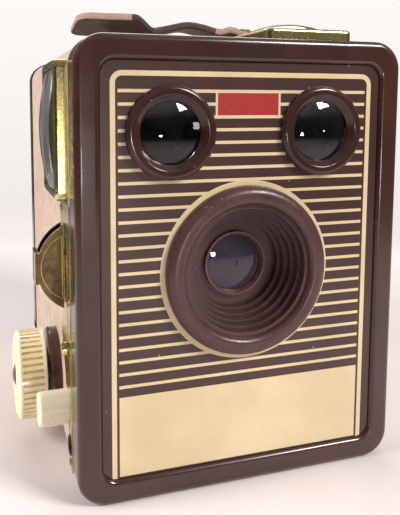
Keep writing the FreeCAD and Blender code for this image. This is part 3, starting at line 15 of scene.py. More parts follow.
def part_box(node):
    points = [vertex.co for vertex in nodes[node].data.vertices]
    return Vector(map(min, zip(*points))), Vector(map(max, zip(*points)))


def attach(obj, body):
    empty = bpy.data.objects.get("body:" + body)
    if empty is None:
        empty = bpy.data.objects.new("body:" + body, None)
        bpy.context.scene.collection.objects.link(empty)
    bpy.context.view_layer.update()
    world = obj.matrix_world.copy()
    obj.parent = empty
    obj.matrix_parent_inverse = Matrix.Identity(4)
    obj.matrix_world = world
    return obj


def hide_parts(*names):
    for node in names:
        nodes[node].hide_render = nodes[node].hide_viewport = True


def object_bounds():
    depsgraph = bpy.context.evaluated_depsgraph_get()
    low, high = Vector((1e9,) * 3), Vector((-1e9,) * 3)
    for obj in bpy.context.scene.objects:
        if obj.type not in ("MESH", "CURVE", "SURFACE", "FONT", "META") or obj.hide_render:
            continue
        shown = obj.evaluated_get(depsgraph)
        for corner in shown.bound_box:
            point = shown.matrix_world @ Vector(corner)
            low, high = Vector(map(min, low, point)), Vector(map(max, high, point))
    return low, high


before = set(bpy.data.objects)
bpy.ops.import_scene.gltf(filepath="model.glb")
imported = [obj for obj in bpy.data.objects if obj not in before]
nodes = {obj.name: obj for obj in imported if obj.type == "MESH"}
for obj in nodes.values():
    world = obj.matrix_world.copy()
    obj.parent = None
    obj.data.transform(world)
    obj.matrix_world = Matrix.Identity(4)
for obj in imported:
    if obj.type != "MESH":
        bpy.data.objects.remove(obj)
cad_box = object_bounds()

MM = 0.001
# rays from each point that look for edges and grooves
RAYS = 6
# the Mix node has sockets for each kind of value, and these are the ones for colours
MIX_ONE, MIX_OTHER, MIX_RESULT = 6, 7, 2


def box_mm(node):
    """The lowest and highest corner of a CAD node, in millimetres."""
    low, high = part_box(node)
    return low / MM, high / MM


def srgb(red, green, blue):
    """A colour given as 0 to 255, in the linear values that shaders take."""
    def linear(part):
        """The standard curve: a straight foot in the dark, and a power above it."""
        part /= 255
        return part / 12.92 if part <= 0.04045 else ((part + 0.055) / 1.055) ** 2.4
    return (linear(red), linear(green), linear(blue), 1)


# ---------------------------------------------------------------- writing materials
class Number:
    """A number that shader nodes work out, with ordinary arithmetic."""

    def __init__(self, paint, socket):
        self.paint, self.socket = paint, socket

    def _math(self, operation, *others):
        return self.paint.math(operation, self, *others)

    def __add__(self, other):
        return self._math("ADD", other)

    def __sub__(self, other):
        return self._math("SUBTRACT", other)

    def __mul__(self, other):
        return self._math("MULTIPLY", other)

    def size(self):
        """This number without its sign."""
        return self._math("ABSOLUTE")

    def over(self, other):
        """1 where this is greater than the other, else 0."""
        return self._math("GREATER_THAN", other)

    def under(self, other):
        """1 where this is less than the other, else 0."""
        return self._math("LESS_THAN", other)

    def within(self, low, high):
        """1 where this is between the two, else 0."""
        return self.over(low) * self.under(high)

    def at_least(self, other):
        return self._math("MAXIMUM", other)

    def at_most(self, other):
        return self._math("MINIMUM", other)

    def repeat(self, length):
        """What is left after whole lengths are taken off, from 0 to the length."""
        return self._math("FLOORED_MODULO", length)

    def ramp(self, low, high, start=0.0, end=1.0):
        """A smooth change from start to end while this goes from low to high."""
        values = {"Value": self, "From Min": low, "From Max": high, "To Min": start, "To Max": end}
        return self.paint.number("MapRange", values, interpolation_type="SMOOTHSTEP")


class Shading:
    """A tree of shader nodes, with short calls that add to it."""

    def __init__(self, tree):
        self.nodes, self.links = tree.nodes, tree.links

    def feed(self, socket, value):
        """Links a number or a socket to a socket, or sets a constant on it."""
        if isinstance(value, Number):
            value = value.socket
        if isinstance(value, bpy.types.NodeSocket):
            self.links.new(value, socket)
        else:
            socket.default_value = value

    def add(self, kind, values, **settings):
        """A new node, with its settings made and its sockets fed."""
        node = self.nodes.new("ShaderNode" + kind)
        for name, setting in settings.items():
            setattr(node, name, setting)
        for name, value in values.items():
            self.feed(node.inputs[name], value)
        return node

    def number(self, kind, values, **settings):
        return Number(self, self.add(kind, values, **settings).outputs[0])

    def math(self, operation, *values):
        return self.number("Math", dict(enumerate(values)), operation=operation)

    def point(self, x, y, z):
        return self.add("CombineXYZ", {0: x, 1: y, 2: z}).outputs[0]

    def noise(self, point, scale=1.0, detail=3.0, rough=0.5, twist=0.0):
        """Cloudy noise round 0.5. The scale is in clouds for each unit of the point."""
        values = {"Vector": point, "Scale": scale, "Detail": detail, "Roughness": rough, "Distortion": twist}
        return self.number("TexNoise", values, noise_dimensions="3D")

    def mix(self, share, one, other):
        """A colour that goes from one to the other as share goes from 0 to 1."""
        node = self.add("Mix", {0: share}, data_type="RGBA", clamp_factor=True)
        self.feed(node.inputs[MIX_ONE], one)
        self.feed(node.inputs[MIX_OTHER], other)
        return node.outputs[MIX_RESULT]


class Paint(Shading):
    """One material: a Principled shader and the nodes that feed it."""

    def __init__(self, name, **sockets):
        self.material = bpy.data.materials.new(name)
        self.material.use_nodes = True
        super().__init__(self.material.node_tree)
        self.shader = self.nodes["Principled BSDF"]
        for socket, value in sockets.items():
            self.feed(self.shader.inputs[socket.replace("_", " ")], value)

    def place(self):
        """The point's X, Y and Z in the part's frame, in millimetres."""
        where = self.nodes.new("ShaderNodeTexCoord").outputs["Object"]
        split = self.add("SeparateXYZ", {0: where})
        return [Number(self, axis) * (1 / MM) for axis in split.outputs]

    def colour(self, value):
        self.feed(self.shader.inputs["Base Color"], value)

    def roughness(self, value):
        self.feed(self.shader.inputs["Roughness"], value)

    def relief(self, height, depth):
        """Height from 0 to 1 raises the surface by a depth in millimetres."""
        bump = self.add("Bump", {"Height": height, "Distance": depth * MM})
        self.links.new(bump.outputs[0], self.shader.inputs["Normal"])

    def groove_shade(self, reach, shut):
        """1 in grooves, and 0 in the open; mixed into a colour, it paints shade into grooves. The reach is
        in millimetres, and shut is how open the grooves are.
        """
        near = self.add("AmbientOcclusion", {"Distance": reach * MM}, samples=RAYS, only_local=True)
        return Number(self, near.outputs["AO"]).ramp(0.9, shut)

    def edge(self, radius):
        """1 on edges sharper than the radius, in millimetres, and 0 on flats."""
        round_normal = self.add("Bevel", {"Radius": radius * MM}, samples=RAYS).outputs[0]
        flat_normal = self.nodes.new("ShaderNodeNewGeometry").outputs["Normal"]
        node = self.add("VectorMath", {0: round_normal, 1: flat_normal}, operation="DOT_PRODUCT")
        return Number(self, node.outputs["Value"]).ramp(0.985, 0.86)


def specks(paint, point, spacing, share, size):
    """1 on tiny round marks, which a share of the cells have. The size is a part of the spacing."""
    scaled = {"Vector": point, "Scale": 1 / spacing}
    cells = paint.add("TexVoronoi", scaled, feature="F1")
    chosen = Number(paint, paint.add("SeparateColor", {0: cells.outputs["Color"]}).outputs[0])
    return Number(paint, cells.outputs["Distance"]).under(size) * chosen.under(share)


# ---------------------------------------------------------------- finishes
BROWN = srgb(68, 39, 32)
BROWN_DEEP = srgb(56, 31, 26)
CREAM = srgb(228, 206, 164)
CHIP = srgb(196, 178, 170)


def brown_enamel(name):
    """Stoved enamel on pressed steel: a soft ripple, dust and chips along the bends."""
    paint = Paint(name, Coat_Weight=0.35, Coat_Roughness=0.07, IOR=1.5)
    point = paint.point(*paint.place())
    patches = paint.noise(point, 0.05, 4)
    dust = specks(paint, point, 2.3, 0.05, 0.1) * paint.noise(point, 0.09, 2).over(0.55)
    chips = paint.edge(0.4) * paint.noise(point, 0.5, 5, 0.7).ramp(0.66, 0.72)
    tone = paint.mix(patches.ramp(0.35, 0.65), BROWN_DEEP, BROWN)
    paint.colour(paint.mix(dust * 0.5 + chips * 0.6, tone, CHIP))
    paint.roughness(paint.noise(point, 0.12, 3, 0.5).ramp(0.3, 0.75, 0.2, 0.28) + dust * 0.3)
    paint.relief(paint.noise(point, 0.35, 2), 0.006)
    return paint.material


def printed_plate(name):
    """The face plate: cream lines, a ring round the lens, a bare red badge and a bare cream block."""
    paint = Paint(name, Coat_Weight=0.25, Coat_Roughness=0.2)
    x, y, z = paint.place()
    point = paint.point(x, y, z)
    low, high = box_mm("face_plate")
    lens_low, lens_high = box_mm("lens_bezel")
    lens_height = (lens_low.z + lens_high.z) / 2
    ring_wide, margin = 1.25, 0.35
    ring_radius = (lens_high.x - lens_low.x) / 2 + ring_wide
    line_side, line_wide, line_round = 33.8, 1.2, 2.8
    line_top = high.z - 2.2
    stripe_side, stripe_thick, pitch, stripes = 32.0, 0.75, 3.0, 24
    first = 97.3
    last = first - pitch * (stripes - 1)
    block_top, block_low = last - 2.5, low.z + margin
    badge_side, badge_edge = 7.9, 0.55

    def corner_distance(side, top, radius):
        """How far the point lies outside a rounded frame that is open at the bottom."""
        across = (x.size() - (side - radius)).at_least(0)
        up = (z - (top - radius)).at_least(0)
        return paint.math("SQRT", across * across + up * up) - radius

    frame_line = corner_distance(line_side, line_top, line_round).within(-line_wide, 0)
    phase = (z - (first - pitch / 2)).repeat(pitch)
    rows = z.within(last - pitch / 2, first + pitch / 2) * x.size().under(stripe_side)
    lines = (phase - pitch / 2).size().under(stripe_thick / 2) * rows
    block = z.within(block_low, block_top) * x.size().under(stripe_side)
    lens_up = z - lens_height
    from_lens = paint.math("SQRT", x * x + lens_up * lens_up)
    ring = from_lens.under(ring_radius)
    badge_height = z.within(first - 2 * pitch - stripe_thick / 2, first + stripe_thick / 2)
    badge_outer = x.size().under(badge_side + badge_edge) * badge_height
    badge_open = z.within(first - 2 * pitch + stripe_thick / 2, first - stripe_thick / 2)
    badge = x.size().under(badge_side) * badge_open
    printed = frame_line.at_least(lines).at_least(block).at_least(ring).at_least(badge_outer)

    faded = paint.noise(point, 0.06, 4)
    fine = paint.noise(point, 2.2, 3, 0.6)
    ground = paint.mix(faded.ramp(0.3, 0.7), srgb(60, 33, 28), srgb(68, 39, 33))
    cream = paint.mix(faded.ramp(0.3, 0.7), srgb(214, 191, 150), CREAM)
    red = paint.mix(fine.ramp(0.3, 0.7), srgb(156, 40, 40), srgb(170, 52, 48))
    tone = paint.mix(badge, paint.mix(printed, ground, cream), red)
    dust = specks(paint, point, 1.6, 0.06, 0.13) * paint.noise(point, 0.1, 2).over(0.48)
    paint.colour(paint.mix(dust * 0.5, tone, CHIP))
    paint.roughness(fine.ramp(0.25, 0.75, 0.3, 0.42))
    paint.relief(fine + printed * 0.25, 0.02)
    return paint.material


def brown_plastic(name, gloss=0.32, shade=BROWN, grain=0.02):
    """Moulded plastic with a trace of flow marks, painted shade in its grooves, dust and rubbed edges."""
    paint = Paint(name, IOR=1.48)
    point = paint.point(*paint.place())
    patches = paint.noise(point, 0.12, 4)
    rubbed = paint.edge(0.22) * paint.noise(point, 0.5, 4).ramp(0.35, 0.7)
    dust = specks(paint, point, 1.3, 0.08, 0.12) * paint.noise(point, 0.15, 2).over(0.5)
    pale, in_shade = ([channel * share for channel in shade[:3]] + [1] for share in (1.35, 0.7))
    # painted shade: the colour darkens in grooves
    tone = paint.mix(paint.groove_shade(3, 0.35), paint.mix(patches.ramp(0.3, 0.7), shade, pale), in_shade)
    paint.colour(paint.mix(rubbed * 0.22 + dust * 0.4, tone, CHIP))
    paint.roughness(paint.noise(point, 0.8, 5, 0.6).ramp(0.3, 0.7, gloss - 0.05, gloss + 0.08))
    paint.relief(paint.noise(point, 3.5, 3, 0.6), grain)
    return paint.material


def ivory(name, shade, shade_colour, gloss):
    """Ivory plastic: faintly see-through, yellowed, with painted shade in patches in its low places."""
    paint = Paint(name, Subsurface_Weight=0.12, Subsurface_Scale=0.0012, IOR=1.5, Coat_Weight=0.15)
    paint.shader.inputs["Subsurface Radius"].default_value = (1.0, 0.7, 0.35)
    point = paint.point(*paint.place())
    patches = paint.noise(point, 0.15, 4)
    # painted shade: the colour darkens, in patches, in grooves and low places
    shade_patches = paint.groove_shade(1.6, 0.45) * paint.noise(point, 0.6, 4).ramp(0.2, 0.7)
    clean = paint.mix(patches.ramp(0.3, 0.7), shade, srgb(252, 240, 206))
    paint.colour(paint.mix(shade_patches * 0.4, clean, shade_colour))
    paint.roughness(paint.noise(point, 0.7, 4).ramp(0.3, 0.7, gloss, gloss + 0.12))
    paint.relief(paint.noise(point, 1.4, 3), 0.012)
    return paint.material


def leatherette(name, along):
    """Covering cloth with a fine wavy grain. along says which way each axis is stretched."""
    paint = Paint(name, Sheen_Weight=0.08, IOR=1.42)
    x, y, z = paint.place()
    sway = paint.noise(paint.point(x * 0.12, y * 0.12, z * 0.16), 1.0, 2) * 3.2
    point = paint.point(x * along[0] + sway, y * along[1] + sway, z * along[2])
    streaks = paint.noise(point, 1.0, 6, 0.62, 0.25)
    threads = paint.noise(point, 3.4, 3, 0.6)
    wide = paint.noise(paint.point(x, y, z), 0.035, 3)
    stain = paint.noise(paint.point(x, y, z), 0.09, 5, 0.6).ramp(0.6, 0.78)
    grain = streaks.ramp(0.36, 0.64)
    light = paint.mix(wide.ramp(0.3, 0.7), srgb(216, 194, 174), srgb(232, 214, 196))
    tone = paint.mix(grain, srgb(184, 155, 134), light)
    paint.colour(paint.mix(stain * 0.35, tone, srgb(150, 118, 96)))
    paint.roughness(grain.ramp(0.0, 1.0, 0.62, 0.48))
    paint.relief(grain * 0.75 + threads * 0.25, 0.11)
    return paint.material


def brass(name, tarnish=0.25, gloss=0.14):
    """Lacquered brass: hairlines, cloudy patches and brown spots where the lacquer has gone."""
    paint = Paint(name, Metallic=1.0)
    x, y, z = paint.place()
    point = paint.point(x, y, z)
    clouds = paint.noise(point, 0.16, 5, 0.6)
    spots = paint.noise(point, 0.9, 6, 0.7).ramp(0.58, 0.7)
    hairs = paint.noise(paint.point(x * 0.3, y * 0.3, z * 14), 1.0, 2)
    worn = paint.mix(clouds.ramp(0.35, 0.65), srgb(230, 216, 150), srgb(186, 170, 104))
    paint.colour(paint.mix(spots * tarnish, worn, srgb(98, 76, 36)))
    paint.roughness(clouds.ramp(0.3, 0.7, gloss, gloss + 0.1) + spots * 0.2 + hairs * 0.05)
    paint.relief(hairs, 0.004)
    return paint.material


def brass_painted_dark(name):
    """Brass whose flats are painted dark olive brown, a painted dark reflection, bright along its edges and
    in rubbed patches.
    """
    paint = Paint(name, Metallic=1.0)
    point = paint.point(*paint.place())
    clouds = paint.noise(point, 0.22, 5, 0.6)
    bright = (paint.edge(0.25) + paint.noise(point, 0.5, 5, 0.6).ramp(0.62, 0.72) * 0.5).at_most(1)
    # painted dark reflection: the flats are coloured dark olive brown
    dark = paint.mix(clouds.ramp(0.35, 0.65), srgb(122, 104, 72), srgb(84, 68, 48))
    paint.colour(paint.mix(bright, dark, srgb(232, 212, 130)))
    paint.roughness(clouds.ramp(0.3, 0.7, 0.1, 0.22))
    paint.relief(clouds, 0.01)
    return paint.material


def bare_metal(name, shade, gloss, wear):
    """Steel or blackened metal with fine drawing marks and a little oxide."""
    paint = Paint(name, Metallic=1.0)
    x, y, z = paint.place()
    point = paint.point(x, y, z)
    clouds = paint.noise(point, 0.3, 5, 0.6)
    marks = paint.noise(paint.point(x * 0.4, y * 8, z * 8), 1.0, 3)
    paint.colour(paint.mix(clouds.ramp(0.35, 0.7) * wear, shade, srgb(112, 92, 74)))
    paint.roughness(marks.ramp(0.2, 0.8, gloss, gloss + 0.18))
    paint.relief(marks, 0.006)
    return paint.material


def dusty_black(paint, point):
    """Dead black with a film of dust: how thick the dust is, from 0 to 1, and the colour."""
    dust = paint.noise(point, 0.5, 6, 0.7).ramp(0.5, 0.75)
    return dust, paint.mix(dust * 0.4, srgb(24, 22, 22), srgb(54, 48, 46))


def black_paint(name):
    """Dead black inside the case, rubbed to grey on its edges."""
    paint = Paint(name, IOR=1.4)
    point = paint.point(*paint.place())
    rubbed = paint.edge(0.3) * paint.noise(point, 0.8, 4).ramp(0.45, 0.7)
    dust, tone = dusty_black(paint, point)
    paint.colour(paint.mix(rubbed * 0.5, tone, srgb(120, 112, 106)))
    paint.roughness(dust.ramp(0, 1, 0.5, 0.75))
    paint.relief(paint.noise(point, 4, 3), 0.03)
    return paint.material


def shutter_reflection_tint(name):
    """The smooth violet grey of the blade and plates behind the lens, with rub marks where they slide. The
    violet grey is a painted reflection: seen through the lens, it stands in for a soft reflection on the
    lens.
    """
    paint = Paint(name, IOR=1.45)
    x, y, z = paint.place()
    point = paint.point(x, y, z)
    cloud = paint.noise(point, 0.3, 3)
    rubs = paint.noise(paint.point(x * 0.5, y, z * 2.5), 0.9, 3).ramp(0.6, 0.75)
    # painted reflection: violet grey that stands in for a soft reflection on the lens
    tone = paint.mix(cloud.ramp(0.3, 0.7), srgb(84, 74, 86), srgb(98, 88, 100))
    paint.colour(paint.mix(rubs * 0.3, tone, srgb(150, 142, 150)))
    paint.roughness(rubs.ramp(0, 1, 0.5, 0.35))
    paint.relief(cloud, 0.004)
    return paint.material


def case_paint(name):
    """The case: brown enamel on its outside, dead black within."""
    paint = Paint(name, IOR=1.45)
    x, y, z = paint.place()
    point = paint.point(x, y, z)
    low, high = box_mm("case_shell")
    corner, skin, middle = 6, 0.4, (low.z + high.z) / 2
    # how far the point lies outside the box that the rounded corners are struck from
    across = (x.size() - (high.x - corner)).at_least(0)
    up = ((z - middle).size() - (high.z - middle - corner)).at_least(0)
    outside = paint.math("SQRT", across * across + up * up).over(corner - skin)
    dust, inner = dusty_black(paint, point)
    paint.colour(paint.mix(outside, inner, paint.mix(dust * 0.3, BROWN, CHIP)))
    paint.roughness(outside.ramp(0, 1, 0.65, 0.25))
    paint.relief(paint.noise(point, 4, 3) * 0.3, 0.03)
    return paint.material


def glass(name, shade, smear=0.035, clearness=1.0):
    """Clear or tinted glass or plastic with dust and a faint greasy film. The tint is the glass's own
    colour, except in the lens, where it is a painted reflection.
    """
    paint = Paint(name, Transmission_Weight=clearness, IOR=1.5)
    point = paint.point(*paint.place())
    film = paint.noise(point, 0.4, 4, 0.6).ramp(0.5, 0.8)
    dust = specks(paint, point, 0.9, 0.25, 0.07)
    paint.colour(paint.mix(dust * 0.5, shade, srgb(236, 232, 226)))
    paint.roughness(film * smear + dust * 0.4)
    return paint.material


def mirror(name):
    """Silvered glass, gone in small spots."""
    paint = Paint(name, Metallic=1.0)
    spots = paint.noise(paint.point(*paint.place()), 0.8, 6, 0.7).ramp(0.6, 0.75)
    paint.colour(paint.mix(spots * 0.6, srgb(214, 216, 220), srgb(96, 88, 80)))
    paint.roughness(spots * 0.3 + 0.03)
    return paint.material


def red_celluloid(name):
    """Deep red see-through film, hazy in patches."""
    paint = Paint(name, Transmission_Weight=0.75, IOR=1.49)
    haze = paint.noise(paint.point(*paint.place()), 0.7, 4)
    paint.colour(paint.mix(haze.ramp(0.3, 0.7), srgb(190, 26, 18), srgb(150, 14, 12)))
    paint.roughness(haze.ramp(0.3, 0.7, 0.12, 0.25))
    return paint.material


def strap_leather(name):
    """Dark brown leather: pebbled skin, and a raw tan edge where the thickness was cut."""
    paint = Paint(name, IOR=1.45, Sheen_Weight=0.1)
    x, y, z = paint.place()
    point = paint.point(x, y, z)
    raw = Number(paint, paint.add("Attribute", {}, attribute_name="raw_edge").outputs["Fac"])
    pebbles = paint.number("TexVoronoi", {"Vector": point, "Scale": 1.15}, feature="SMOOTH_F1")
    creases = paint.noise(paint.point(x * 0.9, y * 0.25, z * 0.6), 1.0, 5, 0.65, 0.4)
    scuffs = paint.noise(point, 0.35, 6, 0.7).ramp(0.56, 0.72)
    skin = paint.mix(creases.ramp(0.3, 0.7), srgb(46, 31, 30), srgb(70, 48, 45))
    skin = paint.mix(scuffs * 0.3, skin, srgb(112, 82, 72))
    fibres = paint.noise(paint.point(x * 1.2, y * 1.2, z * 6), 1.0, 5, 0.7)
    cut = paint.mix(fibres.ramp(0.3, 0.7), srgb(160, 132, 116), srgb(196, 166, 148))
    paint.colour(paint.mix(raw, skin, cut))
    paint.roughness(raw.ramp(0, 1, 0.5, 0.85) + creases * 0.12)
    paint.relief(pebbles * 0.5 + creases * 0.5 + fibres * raw, 0.09)
    return paint.material


# ---------------------------------------------------------------- pieces made here
def strap_wave():
    """The height of the middle of the CAD strap along X, as a function of X in millimetres."""
    points = [vertex.co / MM for vertex in nodes["carrying_strap"].data.vertices]
    low, high = box_mm("carrying_strap")
    # a band with few corners, or one thinner than the strap, doesn't show both of its faces
    step, few, thin = 0.75, 3, 1.6
    bands = [[] for _ in range(int((high.x - low.x) / step) + 1)]
    for point in points:
        bands[int((point.x - low.x) / step)].append(point.z)
    known = [(low.x + (index + 0.5) * step, (min(band) + max(band)) / 2) for index, band in enumerate(bands)
             if len(band) > few and max(band) - min(band) > thin]
    places = [place for place, _ in known]

    def height(x):
        """The height between the two known places on either side of X."""
        after = min(max(bisect.bisect(places, x), 1), len(known) - 1)
        (start, low_end), (end, high_end) = known[after - 1], known[after]
        share = min(max((x - start) / (end - start), 0), 1)
        return low_end + (high_end - low_end) * share
    return height


def smooth(value, start, end):
    """0 at the start, 1 at the end and a smooth change between them."""
    share = min(max((value - start) / (end - start), 0), 1)
    return share * share * (3 - 2 * share)


def mound(value, middle, width):
    """1 in the middle, falling smoothly to nothing over about twice the width."""
    return math.exp(-((value - middle) / width) ** 2)


def closed_loop(curve, corners):
    """One closed straight-sided loop of a flat curve, through points in millimetres."""
    spline = curve.splines.new("POLY")
    spline.points.add(len(corners) - 1)
    for point, (x, y) in zip(spline.points, corners):
        point.co = (x, y, 0, 1)
    spline.use_cyclic_u = True


def arc(centre, radius, start, end, steps=10):
    """Points on a round stretch, from one angle to another in degrees."""
    turns = [math.radians(start + (end - start) * step / steps) for step in range(steps + 1)]
    return [(centre[0] + radius * math.cos(turn), centre[1] + radius * math.sin(turn)) for turn in turns]


def cut_hide(half, wide, stud, thick):
    """The flat strap: wide ends, a narrow neck and a slot at each stud, cut from thick hide."""
    neck, skin, corner = 5.5, 0.35, 4.0
    slot_half, slot_round = 3.6, 1.75
    grid, rubbings = 0.32, 3
    # how far in from the stud, and how far out from the middle line, the edge turns towards the neck
    turns = ((3, wide), (5, wide - 0.7), (7.5, neck + 0.5), (9.5, neck))
    quarter = arc((half - corner, wide - corner), corner, 0, 90)
    upper = quarter + [(stud - inward, outward) for inward, outward in turns]
    outside = upper + [(-x, y) for x, y in reversed(upper)]
    outside += [(x, -y) for x, y in reversed(outside)]

    curve = bpy.data.curves.new("strap_cut", "CURVE")
    curve.dimensions = "2D"
    curve.fill_mode = "BOTH"
    curve.extrude = thick / 2 - skin
    curve.bevel_depth = skin
    curve.offset = -skin
    curve.bevel_resolution = 3
    closed_loop(curve, outside)
    for side in (-1, 1):
        ends = arc((side * stud + slot_half - slot_round, 0), slot_round, -90, 90)
        ends += arc((side * stud - slot_half + slot_round, 0), slot_round, 90, 270)
        closed_loop(curve, ends)
    flat = bpy.data.objects.new("strap_flat", curve)
    bpy.context.scene.collection.objects.link(flat)
    strap = bpy.data.objects.new("leather_strap", bpy.data.meshes.new_from_object(flat))
    bpy.data.objects.remove(flat)
    bpy.context.scene.collection.objects.link(strap)
    remesh = strap.modifiers.new("even", "REMESH")
    remesh.mode, remesh.voxel_size = "VOXEL", grid
    soften = strap.modifiers.new("soften", "SMOOTH")
    soften.iterations = rubbings
    apply_modifiers(strap)
    return strap


def carrying_strap():
    """The leather strap: bent over its studs, its left end twisted up at the front, a hump at the neck."""
    low, high = box_mm("carrying_strap")
    studs_low, studs_high = box_mm("strap_studs")
    stud_foot, thick = 3.4, 2.0
    stud = (studs_high.x - studs_low.x) / 2 - stud_foot
    half, wide = (high.x - low.x) / 2, (high.y - low.y) / 2
    row = (low.y + high.y) / 2
    strap = cut_hide(half, wide, stud, thick)

    height = strap_wave()
    end_lift, front_drop, top_margin = 0.9, 0.3, 0.05
    back_height = height(-stud) + end_lift
    front_height = high.z - thick / 2 - front_drop
    ceiling = high.z - top_margin
    head_clear, side_on, reach = 3.3, 0.6, 0.5
    end_from, end_to, twist_from, twist_to = -stud - 4, -stud - 9, -stud + 8, -stud + 1
    raw_to = stud - 11
    bulge_at, bulge_wide, bulge_high = stud - 6.3, 2.2, 1.1
    wrinkles_at, wrinkles_wide, wrinkle_high = stud - 6, 5, 0.35
    ripple_high, lean_share = 0.12, 0.9
    raw = strap.data.attributes.new("raw_edge", "FLOAT", "POINT")
    upright = [vertex.normal.z for vertex in strap.data.vertices]
    for vertex, mark, facing in zip(strap.data.vertices, raw.data, upright):
        x, y, z = vertex.co
        mark.value = 1.0 if abs(facing) < side_on and not -stud < x < raw_to else 0.0
        middle = height(x)
        lean = math.sin(math.atan(height(x + reach) - height(x - reach)))
        end = smooth(x, end_from, end_to)
        twisted = smooth(x, twist_from, twist_to)
        by_stud = smooth(-y, head_clear - 1, wide)
        across = (wide - y) / (2 * wide)
        curl = by_stud * (1 - end) + across * end
        low_side = middle * (1 - end) + back_height * end
        middle = middle * (1 - twisted) + (low_side + (front_height - low_side) * curl) * twisted
        bulge = mound(x, bulge_at, bulge_wide) * smooth(-y, -2, 5) * bulge_high
        wrinkle = noise.noise(Vector((x * 0.9, y * 0.25, 3))) * mound(x, wrinkles_at, wrinkles_wide)
        ripple = noise.noise(Vector((x * 0.16, y * 0.2, 7))) * ripple_high
        top = (middle + bulge + ripple) + z + wrinkle * wrinkle_high * (z > 0)
        vertex.co = Vector((x - lean * z * lean_share, row + y, min(top, ceiling))) * MM
    for polygon in strap.data.polygons:
        polygon.use_smooth = True
    strap.data.materials.append(strap_leather("strap_hide"))
    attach(strap, "camera_body")
    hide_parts("carrying_strap")


def apply_modifiers(piece):
    """Turns a piece's modifiers into its mesh."""
    graph = bpy.context.evaluated_depsgraph_get()
    finished = bpy.data.meshes.new_from_object(piece.evaluated_get(graph))
    piece.modifiers.clear()
    piece.data = finished


# ---------------------------------------------------------------- finish of each CAD node
def dress():
    """Gives every CAD node its material."""
    enamel = brown_enamel("enamel_brown")
    bright, dull = brass("brass_bright"), brass("brass_dull", 0.6, 0.2)
    steel = bare_metal("steel_drawn", srgb(176, 174, 170), 0.25, 0.35)
    spring = bare_metal("steel_spring", srgb(140, 138, 136), 0.3, 0.4)
    dark = bare_metal("metal_blackened", srgb(52, 46, 42), 0.32, 0.5)
    black, violet = black_paint("paint_black"), shutter_reflection_tint("paint_shutter")
    clear = glass("glass_clear", (1, 1, 1, 1))
    dome = glass("plastic_dome", srgb(240, 236, 232), 0.04, 0.95)
    silver = mirror("glass_silvered")
    finder_plastic = brown_plastic("plastic_gloss", 0.13, srgb(54, 32, 29), 0.006)
    bezel_plastic = brown_plastic("plastic_satin", 0.3, srgb(72, 46, 45))
    finish = {
        "case_shell": case_paint("paint_case"),
        "front_panel": enamel,
        "face_plate": printed_plate("plate_print"),
        "case_covering": leatherette("covering_case", (0.3, 2.0, 0.22)),
        "door_covering": leatherette("covering_door", (2.0, 0.3, 0.22)),
        "lens_bezel": bezel_plastic,
        "lens_retainer": brown_plastic("plastic_ring", 0.28, srgb(84, 54, 52)),
        # painted reflection: the lens's violet grey tint, on glass that is only partly clear, stands in for
        # a soft reflection
        "lens": glass("glass_lens_reflection_tint", srgb(80, 70, 82), 0.02, 0.45),
        "closeup_lens": clear,
        "filter_glass": glass("glass_yellow", srgb(250, 210, 70)),
        "trim_plate": bright, "trim_rivets": dull, "release_socket": dark, "tripod_bush": bright,
        "shutter_button": ivory("plastic_button", srgb(238, 226, 200), srgb(150, 120, 84), 0.24),
        "winding_knob": ivory("plastic_knob", srgb(250, 236, 184), srgb(176, 138, 84), 0.3),
        "knob_cap": brown_plastic("plastic_cap", 0.2, srgb(72, 44, 38), 0.006),
        "winding_collar": brown_plastic("plastic_collar", 0.12, srgb(66, 38, 34), 0.004),
        "button_spring": spring, "selector_knob": dull, "slide_guide": black,
        "closeup_slide": brass_painted_dark("slide_dark_reflection"), "filter_slide": brass_painted_dark("slide_two_dark_reflection"),
        "shutter_plate": violet, "stop_plate": violet, "shutter_posts": steel, "shutter_blade": violet,
        "release_lever": dull, "winding_washer": steel, "winding_shaft": steel, "spool_pivots": steel,
        "take_up_spool": bare_metal("metal_spool", srgb(70, 66, 64), 0.3, 0.3), "roll_holder": black,
        "upper_roller": steel, "lower_roller": steel, "back_door": enamel, "hinge_leaf": enamel,
        "red_window": red_celluloid("celluloid_red"), "window_guide": enamel, "window_cover": enamel,
        "hinge_pin": steel, "catch_bracket": bright, "catch_pin": steel, "back_catch": bright,
        "strap_studs": bright,
    }
    for side in ("top", "side"):
        finish[side + "_finder_bezel"] = finder_plastic
        finish[side + "_finder_objective"] = clear
        finish[side + "_finder_box"] = black
        finish[side + "_finder_mirror"] = silver
        finish[side + "_finder_frame"] = bright
        finish[side + "_finder_dome"] = dome
    for name, material in finish.items():
        for material_slot in nodes[name].material_slots:
            material_slot.material = material


# ---------------------------------------------------------------- stage, light and camera
def floor():
    """A pale matt floor under the camera, which fades into the pale room away from it."""
    paint = Paint("floor_pale", IOR=1.4)
    x, y, z = paint.place()
    cloth = paint.noise(paint.point(x, y, z), 0.012, 5, 0.6)
    paint.colour(paint.mix(cloth.ramp(0.3, 0.7), srgb(222, 212, 210), srgb(229, 220, 218)))
    paint.roughness(cloth.ramp(0.3, 0.7, 0.7, 0.85))
    away = paint.math("SQRT", x * x + y * y)
    solid_to, gone_from, rim = 150, 520, 550
    paint.feed(paint.shader.inputs["Alpha"], away.ramp(solid_to, gone_from, 1.0, 0.0))
    shape = bmesh.new()
    bmesh.ops.create_circle(shape, cap_ends=True, segments=96, radius=rim * MM)
    mesh = bpy.data.meshes.new("floor")
    shape.to_mesh(mesh)
    shape.free()
    mesh.materials.append(paint.material)
    ground = bpy.data.objects.new("floor", mesh)
    ground.location.z = cad_box[0].z
    bpy.context.scene.collection.objects.link(ground)


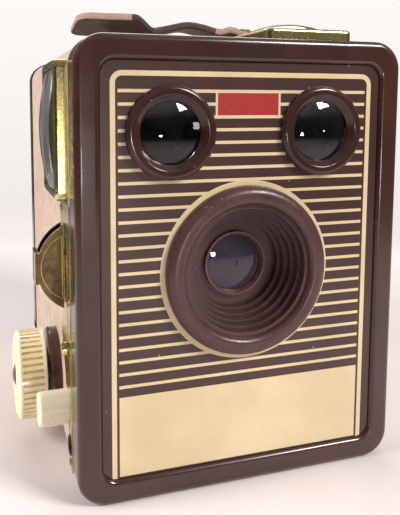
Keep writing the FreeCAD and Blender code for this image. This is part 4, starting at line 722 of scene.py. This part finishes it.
def soft_light(name, place, width, height, power, tint=(1, 1, 1), mirrored=True):
    """A lamp that faces the middle of the part, with lengths in metres and power in watts.

    One that isn't mirrored leaves no highlight on glossy surfaces.
    """
    middle = Vector((0, 0, 0.06))
    light = bpy.data.lights.new(name, "AREA")
    light.shape = "RECTANGLE"
    light.size, light.size_y = width, height
    light.energy = power
    light.color = tint
    lamp = bpy.data.objects.new(name, light)
    lamp.location = place
    lamp.rotation_mode = "QUATERNION"
    lamp.rotation_quaternion = (middle - Vector(place)).to_track_quat("-Z", "Y")
    lamp.visible_glossy = mirrored
    bpy.context.scene.collection.objects.link(lamp)


def room():
    """A white backdrop, and for light and reflections a room that is dark low down in front."""
    world = bpy.data.worlds.new("room")
    bpy.context.scene.world = world
    world.use_nodes = True
    sky = Shading(world.node_tree)
    direction = sky.nodes.new("ShaderNodeTexCoord").outputs["Generated"]
    split = sky.add("SeparateXYZ", {0: direction})
    back, up = Number(sky, split.outputs["Y"]), Number(sky, split.outputs["Z"])
    patches = sky.noise(direction, 2.6, 2, 0.5).ramp(0.42, 0.6, 0.2, 1.2)
    above = up.ramp(-0.1, 0.9, 0.2, 1.1)
    behind = back.ramp(-0.6, 0.7, 0.2, 0.9)
    lit = above * behind * patches + above * 0.08
    seen = Number(sky, sky.nodes.new("ShaderNodeLightPath").outputs["Is Camera Ray"])
    backdrop = up.ramp(-0.5, 0.25, 0.78, 1.0)
    background = sky.nodes["Background"]
    sky.feed(background.inputs["Color"], sky.mix(seen, (0.95, 0.93, 0.94, 1), (1.0, 0.955, 0.94, 1)))
    sky.feed(background.inputs["Strength"], seen * (backdrop - lit) + lit)


def studio():
    """The room, a lamp high on the right, a small one level with the base, one on the left, one behind."""
    room()
    warm, rosy = (1, 0.98, 0.97), (1, 0.98, 0.99)
    soft_light("key", (0.5, -0.58, 0.6), width=0.3, height=0.22, power=8.4, tint=warm)
    soft_light("low", (-0.02, -0.8, 0.0), width=0.06, height=0.06, power=0.8)
    soft_light("fill", (-0.8, 0.0, 0.42), width=0.3, height=0.5, power=8.0, tint=rosy, mirrored=False)
    soft_light("rim", (0.1, 0.7, 0.7), width=0.9, height=0.3, power=3.0)
    bpy.context.scene.view_settings.view_transform = "Standard"


def camera():
    """Close in front, a little above the lens and out past the side with the controls."""
    place = Vector((-62.4, -185.2, 93.5))
    yaw, pitch, roll = math.radians(16.61), math.radians(-5.45), math.radians(0.02)
    data = bpy.data.cameras.new("view")
    data.sensor_width = 36
    data.lens = 41.9
    data.shift_x = 0.087
    data.shift_y = -0.18
    data.clip_start = 0.01
    data.clip_end = 50
    viewer = bpy.data.objects.new("view", data)
    viewer.location = place * MM
    turn = Euler((0, 0, -yaw)).to_matrix() @ Euler((math.pi / 2 + pitch, 0, 0)).to_matrix()
    turn = turn @ Euler((0, 0, -roll)).to_matrix()
    viewer.rotation_euler = turn.to_euler()
    bpy.context.scene.collection.objects.link(viewer)
    bpy.context.scene.camera = viewer


dress()
carrying_strap()
floor()
studio()
camera()
